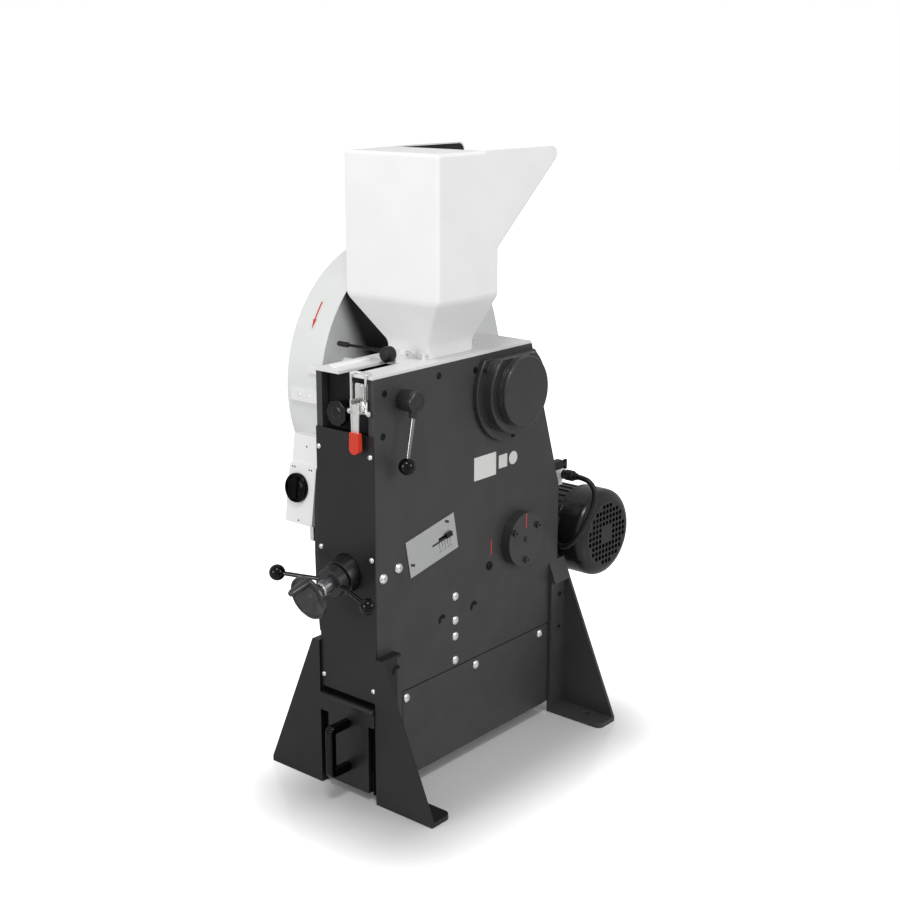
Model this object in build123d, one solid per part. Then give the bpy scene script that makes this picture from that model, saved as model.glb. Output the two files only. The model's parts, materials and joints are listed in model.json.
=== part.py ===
"""Floor-standing laboratory jaw crusher, one STEP file per sub-part in parts/.

Frame: millimetres, +Z up, origin on the floor at the centre of the four floor bolts.
+X is the machine's right (gap scale and bearing cap), -Y its front (handwheel and drawer),
+Y its rear (motor), and the flywheel runs under its guard on the left.
The driving dimensions come first, then what follows from them, then the pieces.
"""
import os
from math import acos, atan2, cos, degrees, hypot, radians, sin, sqrt, tan

from build123d import *

os.makedirs("parts", exist_ok=True)

# ---------------------------------------------------------------- driving dimensions
# clearances
FIT = 0.02            # shaft in a bore that turns with it, or a pin in its own plate
RUN = 0.06            # radial running clearance of a shaft in its bearing
GAP = 0.3             # moving piece beside what carries it
SEAM = 1.0            # gap round the lower side covers
# body
BODY_W = 138.0        # over the side plates
SIDE_T = 14.0         # side plate thickness
SHEET_T = 3.0         # front and rear covers
FRONT_Y = -281.0      # outer face of the front cover
TOP_Z = 795.0         # upper face of the top plate
TOP_T = 5.0           # top plate thickness
BOTTOM_Z = 23.0       # lower edge of the side plates
REAR_TOP_Y = 164.0    # rear edge of the body at the top
REAR_Y = 262.0        # outer face of the rear cover, below the knee
KNEE_Z = 488.0        # height where the rear slope ends
# lower side covers and rails
SEAM_Z = 198.0
COVER_Y0, COVER_Y1 = -212.0, 235.0
RAIL_T = 8.0          # bar behind the cover's upper edge
RAIL_H = 44.0
# feet
FOOT_REACH = 204.0    # outer edge of the feet from the middle
FOOT_T = 6.0          # gusset thickness
FOOT_BASE_T = 10.0
FOOT_DEPTH = 52.0     # base flange, front to back
FOOT_FLANGE_T = 8.0   # flange on the side plate
FOOT_PROUD = 5.0      # how far the gusset stands out past the covers
FOOT_TOP_Z = 285.0
FOOT_TOP_W = 18.0     # width of the gusset at its top
REAR_FOOT_TOP_Z = 329.0
FLOOR_HOLE_R = 9.0
FLOOR_HOLE_X = 150.0
# front recess and front cover
RECESS_Z = 690.0      # upper edge of the front cover
RECESS_DEPTH = 18.0
PANEL_T = 6.0
# top plate slot and feed opening
SLOT_X0, SLOT_X1, SLOT_Y1 = -10.0, 22.0, -160.0
# eccentric shaft and its bearings
SHAFT_Y, SHAFT_Z = 88.0, 715.0
SHAFT_R = 25.0
ECC = 2.5             # throw of the eccentric
ECC_R = 34.0
HUB_SIDE = 13.0       # between the eccentric journal and a side plate
HOUSING_R = 100.0     # flange of the bearing housing
HOUSING_FLAT_Z = 780.0
HOUSING_T = 10.0
STEP_R, STEP_L = 84.0, 21.0
SPIGOT_R = 60.0
CAP_R, CAP_L = 67.0, 18.0
# jaws: working faces as (y, z) at the top and the bottom, and their plates
CHEEK_T = 8.0         # cheek plates beside the jaws
JAW_SIDE = 3.0        # between a jaw and a cheek
JAW_T = 16.0
JAW_TOP_Z, JAW_BOTTOM_Z = 770.0, 440.0
ARM_FACE_TOP_Y, ARM_FACE_BOTTOM_Y = -92.0, -38.0
SWING_FACE_TOP_Y, SWING_FACE_BOTTOM_Y = 12.0, -30.0
# front jaw arm pivot, which is also the side lever's axis
PIVOT_Y, PIVOT_Z, PIVOT_R = -205.0, 744.0, 16.0
ARM_HEAD_R = 32.0
# zero adjuster
ZERO_Y, ZERO_Z = 130.0, 408.0
ZERO_BAR_R, ZERO_DISC_R, ZERO_DISC_T = 28.0, 54.0, 20.0
ZERO_BOLT_RING_R, ZERO_BOLT_R = 42.0, 6.5
# toggle
TOGGLE_T, TOGGLE_Y, TOGGLE_Z = 16.0, 44.0, 468.0
SEAT_T = 24.0         # toggle seat, along the toggle
SEAT_H = 44.0         # toggle seat, across it
# gap spindle: its axis meets the front cover at SPINDLE_Z and drops towards the front
SPINDLE_Z, SPINDLE_TILT = 431.5, 12.0
SPINDLE_R = 14.0
SPINDLE_REACH = 172.0  # from the front cover to its inner end
POCKET_END = 210.0    # bottom of the arm's pocket, from the front cover
NUT_S, NUT_L = -154.0, 24.0
BLOCK_L, BLOCK_H = 74.0, 60.0
BOSS_R, BOSS_L = 33.0, 22.0
COLLAR_R, COLLAR_L = 28.0, 22.0
SLEEVE_R, SLEEVE_L = 12.5, 20.0
WHEEL_R, WHEEL_HUB_R, WHEEL_DISH, WHEEL_T = 40.0, 13.0, 22.0, 4.0
CRANK_R, CRANK_ANGLE, CRANK_GRIP_R, CRANK_GRIP_L, STUD_R = 34.0, 13.0, 8.0, 42.0, 4.0
ARM_REACH, ARM_LEAN, ARM_TURN, ARM_ROD_R, BALL_R = 111.0, 31.5, 3.0, 4.0, 14.0
# gap scale on the right side plate
SCALE_W, SCALE_H, SCALE_T = 135.0, 72.0, 2.0
SCALE_Y, SCALE_Z, SCALE_TILT = -129.0, 459.0, 11.0
POINTER_TRAVEL = 24.0
POINTER_U, POINTER_V = 45.0, 1.0   # pointer on the scale, from its centre
STEM_R = 3.0
# side lever
SIDE_HUB_R, SIDE_HUB_L, SIDE_REACH, SIDE_LEAN, SIDE_BALL_R = 21.0, 37.0, 113.0, 12.0, 15.0
# toggle clamp on the front recess
CLAMP_SIDE, CLAMP_Z = 15.0, 754.0     # clamp's middle from the right side plate's inner face
CLAMP_W, CLAMP_H, CLAMP_T = 28.0, 44.0, 3.0
EAR_T, EAR_GAP = 3.0, 22.0
CLAMP_PIN_Y, CLAMP_PIN_Z, CLAMP_PIN_R = -286.0, 744.0, 3.0
BAIL_ARM, BAIL_WIRE_R, BAIL_HALF = 13.0, 2.0, 17.0
HANDLE_W, HANDLE_L, HANDLE_T = 20.0, 50.0, 4.0
GRIP_W, GRIP_L, GRIP_T = 27.0, 42.0, 10.0
# front knob, top lever, latch pin
KNOB_X, KNOB_Z, KNOB_R, KNOB_L = -15.0, 721.0, 24.0, 17.0
TOP_HUB_R, TOP_HUB_X, TOP_HUB_Y0, TOP_HUB_Y1 = 14.2, 1.0, -178.0, -159.0
TOP_ROD_L, TOP_ROD_R, TOP_GRIP_L, TOP_GRIP_R = 95.0, 3.0, 27.0, 5.0
LATCH_R, LATCH_Y, LATCH_X0, LATCH_X1, LUG_T = 2.5, -113.0, 8.0, 44.0, 6.0
# hopper
HOP_X, HOP_HALF = -10.0, 112.0
HOP_Y0, HOP_Y1 = -147.0, 20.5
HOP_T = 2.0
NECK_HALF, NECK_Y0, NECK_Y1 = 51.0, -103.0, 23.0
NECK_TOP_Z, BOX_Z, CHUTE_Z, HOP_TOP_Z = 817.0, 903.0, 987.0, 1160.0
TIP_Y, TIP_DROP, TIP_ROUND = 190.0, 26.0, 8.0
LID_Y = -22.0         # rear edge of the closed part of the top
LINER_T = 1.5
HINGE_Y, HINGE_R, HINGE_PIN_R = 36.0, 8.0, 4.0
HINGE_HALF, HINGE_LUG = 25.0, 10.0
# flywheel, belts and guard
FLY_R, FLY_W, FLY_X = 245.0, 60.0, -206.0
FLY_RIM, FLY_WEB, FLY_HUB_R = 40.0, 16.0, 55.0
BELT_W, BELT_T, BELT_PITCH = 12.0, 9.0, 22.0
PULLEY_R = 50.0
GUARD_R, GUARD_LOW_R, GUARD_T = 265.0, 75.0, 3.0
GUARD_X0, GUARD_X1 = -250.0, -160.0
STRAP_T, STRAP_H = 4.0, 24.0
STRAP_DROP, STRAP_RISE = 8.0, 44.0      # the two straps' heights from the shaft
STRAP_END0, STRAP_END1, STRAP_LAP = 14.0, 30.0, 30.0
SPACER_R, SPACER_BORE = 12.0, 7.0
# left hood
HOOD_X, HOOD_T = -90.0, 2.0
HOOD_Y1, HOOD_Z0, HOOD_Z1, HOOD_BULGE = 200.0, 292.0, 600.0, 8.0
HOOD_Y0 = -263.0
# switch box, tilted so that its face looks slightly up
BOX_X0, BOX_X1, BOX_DEPTH = -216.0, -147.0, 42.0
BOX_TOP_Y, BOX_TOP_Z, BOX_TILT = -194.0, 636.0, 8.0
BRACKET_H, BOX_H = 56.0, 112.0
SWITCH_R, SWITCH_L, SWITCH_DROP, SWITCH_X = 28.0, 20.0, 100.0, -190.0
# motor
MOTOR_Y, MOTOR_Z, MOTOR_R = 393.0, 356.0, 88.0
MOTOR_X0, MOTOR_X1 = -152.0, 40.0
FAN_R, FAN_END_R, FAN_L, FAN_BEVEL = 92.0, 71.0, 61.0, 20.0
MOTOR_SHAFT_R = 12.0
FAN_HUB_R, FAN_HUB_X, FAN_HUB_L = 24.0, 8.0, 22.0
BLADE_W, BLADE_T, BLADE_H, BLADE_R = 20.0, 3.0, 50.0, 46.0
FAN_COVER_T = 2.5
MOUNT_X0, MOUNT_X1, MOUNT_T, MOUNT_H = -62.0, 40.0, 10.0, 100.0
SADDLE_H = 84.0
# drawer
DRAWER_SIDE, DRAWER_T, DRAWER_LONG = 4.5, 2.0, 358.0
DRAWER_RAIL_T, DRAWER_RAIL_Z, DRAWER_RAIL_W = 3.0, 12.0, 15.0
LIP_Z0, LIP_Z1, LIP_T = 150.0, 184.0, 10.0
HANDLE_BAR_R, HANDLE_REACH, HANDLE_Z0, HANDLE_Z1, HANDLE_BEND = 7.0, 42.0, 53.0, 143.0, 16.0
# cable from the socket on the rear cover to the motor mount
CABLE_R, SOCKET_R, SOCKET_X0, SOCKET_X1, SOCKET_Y, SOCKET_Z = 5.5, 11.5, 28.0, 38.0, 320.0, 490.0
PLUG_R, PLUG_L, GLAND_L, GLAND_Y, GLAND_Z = 11.0, 35.0, 12.0, 282.0, 350.0
CABLE_POINTS = [(93.4, 320, 490), (111.1, 321, 479.8), (121.3, 321, 462.1), (121.3, 316.4, 437.1),
                (119.6, 305, 412.6), (113.4, 294, 389.6), (104, 287, 371.9), (90.5, 283, 357.8), (72, 282, 350)]
# lock screw on the rear cover
WING_X, WING_Z, WING_R, WING_L, WING_BOSS, WING_BAR = 52.0, 517.0, 4.0, 14.0, 20.0, 20.0
# screws: (head radius, head height)
BIG_HEAD, SMALL_HEAD, CAP_HEAD = (8.5, 6.0), (5.0, 3.0), (4.5, 3.0)
HEAD_EDGE = 36.0       # from the front cover's upper edge to its top screws

# ---------------------------------------------------------------- what follows
XO = BODY_W / 2                    # outer face of a side plate
XI = XO - SIDE_T                   # inner face
CHAMBER_HALF = XI - CHEEK_T        # half width of the crushing chamber
JAW_HALF = CHAMBER_HALF - JAW_SIDE # half width of the jaws
HUB_HALF = XI - HUB_SIDE           # half length of the eccentric journal
DRAWER_HALF = XI - DRAWER_SIDE     # half width of the drawer
CLAMP_X = XI - CLAMP_SIDE          # middle of the toggle clamp
TIP_Z = HOP_TOP_Z - TIP_DROP       # lower edge of the chute's tip
PLATE_TOP = TOP_Z - TOP_T          # upper edge of the side plates
PLATE_Y0 = FRONT_Y + SHEET_T       # front edge of the side plates
SLOPE = (REAR_Y - REAR_TOP_Y) / (TOP_Z - KNEE_Z)
PANEL_Y = FRONT_Y + RECESS_DEPTH   # front face of the recess panel
ECC_Y = SHAFT_Y + ECC              # eccentric centre at rest, at the back of its throw
TILT = radians(SPINDLE_TILT)
CHUTE_X0 = max(HOP_X - NECK_HALF + HOP_T, -CHAMBER_HALF)
CHUTE_X1 = min(HOP_X + NECK_HALF - HOP_T, CHAMBER_HALF)
NECK_Z0 = TOP_Z + GAP


# ---------------------------------------------------------------- helpers
def block(x0, x1, y0, y1, z0, z1):
    """Box between two corners."""
    return Pos((x0 + x1) / 2, (y0 + y1) / 2, (z0 + z1) / 2) * Box(x1 - x0, y1 - y0, z1 - z0)


def rod_x(r, x0, x1, y, z):
    """Cylinder along X."""
    return Pos((x0 + x1) / 2, y, z) * Rot(0, 90, 0) * Cylinder(r, x1 - x0)


def rod_y(r, y0, y1, x, z):
    """Cylinder along Y."""
    return Pos(x, (y0 + y1) / 2, z) * Rot(90, 0, 0) * Cylinder(r, y1 - y0)


def rod_z(r, z0, z1, x, y):
    """Cylinder along Z."""
    return Pos(x, y, (z0 + z1) / 2) * Cylinder(r, z1 - z0)


def slab(points, x0, x1):
    """Polygon of (y, z) points, thick from x0 to x1."""
    return extrude(Plane.YZ.offset(x0) * Polygon(*points, align=None), x1 - x0, dir=(1, 0, 0))


def wall(points, y0, y1):
    """Polygon of (x, z) points, thick from y0 to y1."""
    return extrude(Plane.XZ.offset(-y1) * Polygon(*points, align=None), y1 - y0, dir=(0, -1, 0))


def frustum(low, high):
    """Straight-sided transition between two (x0, x1, y0, y1, z) rectangles."""
    faces = []
    for x0, x1, y0, y1, z in (low, high):
        faces.append(Plane.XY.offset(z) * Pos((x0 + x1) / 2, (y0 + y1) / 2)
                     * Rectangle(x1 - x0, y1 - y0))
    return loft(faces, ruled=True)


def mirrored(piece):
    """The same piece on the other side of the machine."""
    return mirror(piece, Plane.YZ)


def rear_y(z, inset=0.0):
    """Rear outline of the body at height z, inset square to its faces."""
    return min(REAR_Y - inset, REAR_TOP_Y + (TOP_Z - z) * SLOPE - inset * hypot(1, SLOPE))


def knee_z(inset=0.0):
    """Height of the rear knee on an inset outline."""
    return TOP_Z - (REAR_Y - REAR_TOP_Y - inset + inset * hypot(1, SLOPE)) / SLOPE


def rear_line(z0, z1, inset=0.0):
    """Rear outline from z0 up to z1."""
    return [(rear_y(z0, inset), z0), (REAR_Y - inset, knee_z(inset)), (rear_y(z1, inset), z1)]


def loop(r1, r2, x0, x1):
    """Solid inside a taut belt round the flywheel axis (radius r1) and the motor axis (r2)."""
    dy, dz = MOTOR_Y - SHAFT_Y, MOTOR_Z - SHAFT_Z
    way, spread = atan2(dz, dy), acos((r1 - r2) / hypot(dy, dz))
    corners = [(y + r * cos(way + s * spread), z + r * sin(way + s * spread))
               for y, z, r, s in ((SHAFT_Y, SHAFT_Z, r1, 1), (MOTOR_Y, MOTOR_Z, r2, 1),
                                  (MOTOR_Y, MOTOR_Z, r2, -1), (SHAFT_Y, SHAFT_Z, r1, -1))]
    return slab(corners, x0, x1) + rod_x(r1, x0, x1, SHAFT_Y, SHAFT_Z) + rod_x(r2, x0, x1, MOTOR_Y, MOTOR_Z)


def on_spindle(s, x=0.0, up=0.0):
    """Point at distance s in front of the cover along the spindle, x aside and up across it."""
    return (x, FRONT_Y - s * cos(TILT) - up * sin(TILT), SPINDLE_Z - s * sin(TILT) + up * cos(TILT))


def along_spindle(s0, s1, r, x=0.0, up=0.0, r1=None):
    """Cylinder or cone parallel to the spindle, from s0 to s1."""
    base = Plane(origin=on_spindle(s0, x, up), x_dir=(1, 0, 0), z_dir=(0, -cos(TILT), -sin(TILT)))
    low = (Align.CENTER, Align.CENTER, Align.MIN)
    shape = Cylinder(r, s1 - s0, align=low) if r1 is None else Cone(r, r1, s1 - s0, align=low)
    return base.location * shape


def stick(start, end, r, r1=None):
    """Round bar from one point to another, tapered if r1 is given."""
    way = Vector(*end) - Vector(*start)
    base = Plane(origin=start, z_dir=way)
    low = (Align.CENTER, Align.CENTER, Align.MIN)
    shape = Cylinder(r, way.length, align=low) if r1 is None else Cone(r, r1, way.length, align=low)
    return base.location * shape


def head_x(y, z, x, size, way=1):
    """Screw head on a face that looks along X, with a hex recess."""
    r, h = size
    x0, x1 = sorted((x, x + way * h))
    recess = Pos(x + way * h, y, z) * Rot(0, 90, 0) * extrude(RegularPolygon(r * 0.5, 6), h / 2, both=True)
    return rod_x(r, x0, x1, y, z) - recess


def head_y(x, z, y, size):
    """Screw head on a face that looks towards -Y."""
    r, h = size
    recess = Pos(x, y - h, z) * Rot(90, 0, 0) * extrude(RegularPolygon(r * 0.5, 6), h / 2, both=True)
    return rod_y(r, y - h, y, x, z) - recess


def save(name, *pieces):
    """Write one node, made of one or more solids."""
    solids = [solid for piece in pieces for solid in piece.solids()]
    export_step(solids[0] if len(solids) == 1 else Compound(children=solids), f"parts/{name}.step")


# ---------------------------------------------------------------- body
outline = [(PLATE_Y0, BOTTOM_Z)] + rear_line(BOTTOM_Z, PLATE_TOP, SHEET_T) + [(PLATE_Y0, PLATE_TOP)]
side_plate = slab(outline, XI, XO)
side_plate -= block(XI, XO, COVER_Y0, COVER_Y1, BOTTOM_Z, SEAM_Z)
side_plate -= rod_x(SPIGOT_R + FIT, XI, XO, SHAFT_Y, SHAFT_Z)
side_plate -= rod_x(ZERO_BAR_R + RUN, XI, XO, ZERO_Y, ZERO_Z)
side_plate -= rod_x(PIVOT_R + FIT, XI, XO, PIVOT_Y, PIVOT_Z)

# pointer window: a slot along the scale, long enough for the stem's travel
scale_way = radians(SCALE_TILT)


def on_scale(u, v, x):
    """Point u along and v across the scale plate."""
    return Pos(x, SCALE_Y + u * cos(scale_way) - v * sin(scale_way),
               SCALE_Z + u * sin(scale_way) + v * cos(scale_way)) * Rot(SCALE_TILT, 0, 0)


WINDOW_L = POINTER_TRAVEL + 2 * (STEM_R + GAP)
window = on_scale(POINTER_U - POINTER_TRAVEL / 2, POINTER_V, XO) * Box(
    4 * SIDE_T, WINDOW_L, 2 * (STEM_R + GAP))
save("right_side_plate", side_plate - window)
save("left_side_plate", mirrored(side_plate))

lower_cover = block(XI, XO, COVER_Y0 + SEAM, COVER_Y1 - SEAM, BOTTOM_Z, SEAM_Z - 2 * SEAM)
save("lower_side_covers", lower_cover, mirrored(lower_cover))

# a bar bridges the seam inside; an angle below carries the drawer
rail = block(XI - RAIL_T, XI, COVER_Y0 - RAIL_H / 2, COVER_Y1, SEAM_Z - RAIL_H / 2, SEAM_Z + RAIL_H / 2)
runner = block(XI - DRAWER_RAIL_T, XI, PLATE_Y0 + 2 * SEAM, COVER_Y1 + RAIL_T, DRAWER_RAIL_Z,
               DRAWER_RAIL_Z + RAIL_H)
runner += block(XI - DRAWER_RAIL_W, XI, PLATE_Y0 + 2 * SEAM, COVER_Y1 + RAIL_T, DRAWER_RAIL_Z,
                DRAWER_RAIL_Z + DRAWER_RAIL_T)
save("rails", rail, mirrored(rail), runner, mirrored(runner))

front_cover = block(-XO, XO, FRONT_Y, PLATE_Y0, LIP_Z1 + SEAM, RECESS_Z)
front_cover -= along_spindle(-40, 40, BOSS_R + SEAM)
save("front_cover", front_cover)

recess = block(-XI, XI, PANEL_Y, PANEL_Y + PANEL_T, RECESS_Z - PANEL_T, PLATE_TOP)
recess += block(-XI, XI, PLATE_Y0, PANEL_Y + PANEL_T, RECESS_Z - PANEL_T, RECESS_Z)
recess -= rod_y(TOP_ROD_R + GAP, PANEL_Y, PANEL_Y + PANEL_T, KNOB_X, KNOB_Z)
save("recess_panel", recess)

top_plate = block(-XO, XO, FRONT_Y, REAR_TOP_Y, PLATE_TOP, TOP_Z)
top_plate -= block(SLOT_X0, SLOT_X1, FRONT_Y, SLOT_Y1, PLATE_TOP, TOP_Z)
top_plate -= block(CHUTE_X0, CHUTE_X1, NECK_Y0 + HOP_T, NECK_Y1 - HOP_T, PLATE_TOP, TOP_Z)
TOP_PIN_Z = TOP_Z + GAP + TOP_HUB_R
lever_lug = block(TOP_HUB_X - 10, TOP_HUB_X + 10, TOP_HUB_Y1 + GAP, TOP_HUB_Y1 + 12, TOP_Z, TOP_PIN_Z + 9)
top_plate += lever_lug - rod_y(5 + RUN, TOP_HUB_Y1, TOP_HUB_Y1 + 12, TOP_HUB_X, TOP_PIN_Z)
LATCH_Z = TOP_Z + 8
for x in (LATCH_X0, LATCH_X1 - LUG_T):
    lug = block(x, x + LUG_T, LATCH_Y - 5, LATCH_Y + 5, TOP_Z, LATCH_Z + 5)
    top_plate += lug - rod_x(LATCH_R + RUN, x, x + LUG_T, LATCH_Y, LATCH_Z)
save("top_plate", top_plate)

rear_cover = slab(rear_line(BOTTOM_Z, PLATE_TOP) + rear_line(BOTTOM_Z, PLATE_TOP, SHEET_T)[::-1], -XO, XO)
WING_Y = rear_y(WING_Z) + 2 * WING_BOSS
wing_boss = block(WING_X - WING_BOSS / 2, WING_X + WING_BOSS / 2, rear_y(WING_Z + 12) - 1, WING_Y,
                  WING_Z - 12, WING_Z + 12)
wing_boss -= slab(rear_line(BOTTOM_Z, PLATE_TOP, SHEET_T) + [(0, PLATE_TOP), (0, BOTTOM_Z)], -XO, XO)
rear_cover += wing_boss
rear_cover -= rod_y(WING_R + RUN, WING_Y - WING_BOSS, WING_Y, WING_X, WING_Z)
save("rear_cover", rear_cover)


# ---------------------------------------------------------------- feet
def foot(end_y, way, top_z):
    """Right-hand foot: floor flange, gusset at the outer end and flange on the side plate.

    end_y is the gusset's outer face and way (+1 or -1) points from it to the machine's middle.
    """
    y0, y1 = sorted((end_y, end_y + way * FOOT_DEPTH))
    g0, g1 = sorted((end_y, end_y + way * FOOT_T))
    base = block(XO, FOOT_REACH, y0, y1, 0, FOOT_BASE_T)
    inner = y1 if way > 0 else y0
    corner = [e for e in base.edges().filter_by(Axis.Z)
              if abs(e.center().X - FOOT_REACH) < 1 and abs(e.center().Y - inner) < 1]
    base = fillet(corner, FOOT_DEPTH / 4)
    gusset = wall([(XO, 0), (FOOT_REACH, 0), (FOOT_REACH, FOOT_BASE_T),
                   (XO + FOOT_TOP_W, FOOT_TOP_Z), (XO, top_z)], g0, g1)
    flange = block(XO, XO + FOOT_FLANGE_T, y0, y1, 0, FOOT_TOP_Z)
    if top_z > FOOT_TOP_Z:      # the flange runs on up to a sloped cap
        flange += wall([(XO, FOOT_TOP_Z), (XO + FOOT_TOP_W, FOOT_TOP_Z), (XO, top_z)], y0, y1)
    else:                       # a flat cap closes the top
        flange += block(XO, XO + FOOT_TOP_W, y0, y1, top_z - FOOT_T, top_z)
    hole_y = end_y + way * FOOT_DEPTH / 2
    return base + gusset + flange - rod_z(FLOOR_HOLE_R, 0, FOOT_BASE_T, FLOOR_HOLE_X, hole_y)


FOOT_Y = REAR_Y + FOOT_PROUD + 19      # outer faces of the gussets, the same in front and behind
front_foot = foot(-FOOT_Y, 1, FOOT_TOP_Z)
rear_foot = foot(FOOT_Y, -1, REAR_FOOT_TOP_Z)
save("front_feet", front_foot, mirrored(front_foot))
save("rear_feet", rear_foot, mirrored(rear_foot))

# ---------------------------------------------------------------- crushing chamber
cheek = slab([(ARM_FACE_TOP_Y - JAW_T, PLATE_TOP - SEAM), (SWING_FACE_TOP_Y + JAW_T, PLATE_TOP - SEAM),
              (SWING_FACE_BOTTOM_Y + JAW_T, JAW_BOTTOM_Z), (ARM_FACE_BOTTOM_Y - 2 * JAW_T, JAW_BOTTOM_Z)],
             CHAMBER_HALF, XI)


def plate_between(y_top, y_bottom, away):
    """Jaw plate behind a working face; away is +1 for a plate on its +Y side."""
    return slab([(y_top, JAW_TOP_Z), (y_bottom, JAW_BOTTOM_Z),
                 (y_bottom + away * JAW_T, JAW_BOTTOM_Z), (y_top + away * JAW_T, JAW_TOP_Z)],
                -JAW_HALF, JAW_HALF)


save("arm_jaw_plate", plate_between(ARM_FACE_TOP_Y, ARM_FACE_BOTTOM_Y, -1))
save("swing_jaw_plate", plate_between(SWING_FACE_TOP_Y, SWING_FACE_BOTTOM_Y, 1))

# front jaw arm: hangs from its pivot, with a pocket that takes the spindle's end
arm_front_y = ARM_FACE_BOTTOM_Y - JAW_T - 66
arm = slab([(PIVOT_Y - 4, PIVOT_Z + 26), (ARM_FACE_TOP_Y - JAW_T, JAW_TOP_Z),
            (ARM_FACE_BOTTOM_Y - JAW_T, JAW_BOTTOM_Z), (arm_front_y, JAW_BOTTOM_Z),
            (arm_front_y - 30, JAW_BOTTOM_Z + 80), (PIVOT_Y - ARM_HEAD_R, PIVOT_Z - 10)],
           -JAW_HALF, JAW_HALF)
arm += rod_x(ARM_HEAD_R, -JAW_HALF, JAW_HALF, PIVOT_Y, PIVOT_Z)
arm -= rod_x(PIVOT_R + RUN, -JAW_HALF, JAW_HALF, PIVOT_Y, PIVOT_Z)
POCKET = (SPINDLE_R + 10, SPINDLE_R + 16)     # half width and half height round the spindle
arm -= Plane(origin=on_spindle(-POCKET_END / 2 - 40), x_dir=(1, 0, 0),
             z_dir=(0, -cos(TILT), -sin(TILT))).location * Box(2 * POCKET[0], 2 * POCKET[1], POCKET_END - 80)
save("jaw_arm", arm)
save("arm_pivot_pin", rod_x(PIVOT_R, -XO, XO, PIVOT_Y, PIVOT_Z))

# moving jaw on the eccentric; its back carries the toggle groove
toggle_span = hypot(ZERO_Y - TOGGLE_Y, ZERO_Z - TOGGLE_Z)
TOGGLE_WAY = degrees(atan2(ZERO_Z - TOGGLE_Z, ZERO_Y - TOGGLE_Y))


def on_toggle(u, x=0.0):
    """Place at distance u from the jaw's toggle groove towards the zero bar."""
    return Pos(x, TOGGLE_Y + u * cos(radians(TOGGLE_WAY)),
               TOGGLE_Z + u * sin(radians(TOGGLE_WAY))) * Rot(TOGGLE_WAY, 0, 0)


swing = slab([(SWING_FACE_TOP_Y + JAW_T, JAW_TOP_Z), (SHAFT_Y - 12, SHAFT_Z + ECC_R + 16),
              (SHAFT_Y + 40, SHAFT_Z - 34), (TOGGLE_Y + 10, TOGGLE_Z + 10), (TOGGLE_Y - 4, JAW_BOTTOM_Z),
              (SWING_FACE_BOTTOM_Y + JAW_T, JAW_BOTTOM_Z)], -JAW_HALF, JAW_HALF)
swing += rod_x(ECC_R + 18, -HUB_HALF, HUB_HALF, ECC_Y, SHAFT_Z)
swing -= rod_x(ECC_R + RUN, -JAW_HALF, JAW_HALF, ECC_Y, SHAFT_Z)
GROOVE = 8.0
swing -= on_toggle(60 - GROOVE) * Box(2 * BODY_W, 120, TOGGLE_T + 4 * ECC)
save("swing_jaw", swing)

shaft = rod_x(SHAFT_R, FLY_X - FLY_W / 2 - 4, XO + HOUSING_T + STEP_L - 2, SHAFT_Y, SHAFT_Z)
shaft += rod_x(ECC_R, -HUB_HALF, HUB_HALF, ECC_Y, SHAFT_Z)
save("eccentric_shaft", shaft)

# toggle: a strut with rounded ends between the jaw and the seat in front of the zero bar
seat_u1 = toggle_span - ZERO_BAR_R - GAP
seat_u0 = seat_u1 - SEAT_T
groove_depth = 5.0
seat = on_toggle((seat_u0 + seat_u1 + 14) / 2) * Box(2 * XI, SEAT_T + 14, SEAT_H)
seat -= rod_x(ZERO_BAR_R + GAP, -XI, XI, ZERO_Y, ZERO_Z)
seat -= on_toggle(seat_u0 + groove_depth - TOGGLE_T / 2) * Rot(0, 90, 0) * Cylinder(
    TOGGLE_T / 2, 2 * BODY_W)
save("toggle_seat", seat)
t0, t1 = ECC * 0.3 - GROOVE, seat_u0 + groove_depth
strut = on_toggle((t0 + t1) / 2) * Box(2 * HUB_HALF, t1 - t0 - TOGGLE_T, TOGGLE_T)
for u in (t0 + TOGGLE_T / 2, t1 - TOGGLE_T / 2):
    strut += on_toggle(u) * Rot(0, 90, 0) * Cylinder(TOGGLE_T / 2, 2 * HUB_HALF)
save("toggle_plate", strut)

# walls under the jaws, down to the drawer; the front one leans out below the arm
wall_z0 = SEAM_Z + RAIL_H / 2 + SEAM
CHUTE_Y, CHUTE_T = -66.0, 8.0
front_wall = slab([(CHUTE_Y - CHUTE_T / 2, wall_z0), (CHUTE_Y + CHUTE_T / 2, wall_z0),
                   (CHUTE_Y + CHUTE_T / 2, SEAM_Z + 155), (CHUTE_Y - 85, JAW_BOTTOM_Z - 12),
                   (CHUTE_Y - 95, JAW_BOTTOM_Z - 12), (CHUTE_Y - CHUTE_T / 2, SEAM_Z + 150)], -XI, XI)
rear_wall = slab([(TOGGLE_Y + 4, JAW_BOTTOM_Z - 44), (TOGGLE_Y + 4 + CHUTE_T, JAW_BOTTOM_Z - 44),
                  (SHAFT_Y - 26 + CHUTE_T, wall_z0), (SHAFT_Y - 26, wall_z0)], -XI, XI)
save("chamber_walls", cheek, mirrored(cheek), front_wall, rear_wall)

# zero adjuster: bar across the body with its disc outside
zero = rod_x(ZERO_BAR_R, -XO, XO + GAP, ZERO_Y, ZERO_Z)
zero += rod_x(ZERO_DISC_R, XO + GAP, XO + ZERO_DISC_T, ZERO_Y, ZERO_Z)
zero += rod_x(5, XO + ZERO_DISC_T, XO + ZERO_DISC_T + 3, ZERO_Y, ZERO_Z)
for angle in (30, 150, 270):
    y = ZERO_Y + ZERO_BOLT_RING_R * cos(radians(angle))
    z = ZERO_Z + ZERO_BOLT_RING_R * sin(radians(angle))
    zero += head_x(y, z, XO + ZERO_DISC_T, (ZERO_BOLT_R, 5))
save("zero_disc", zero)

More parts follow.
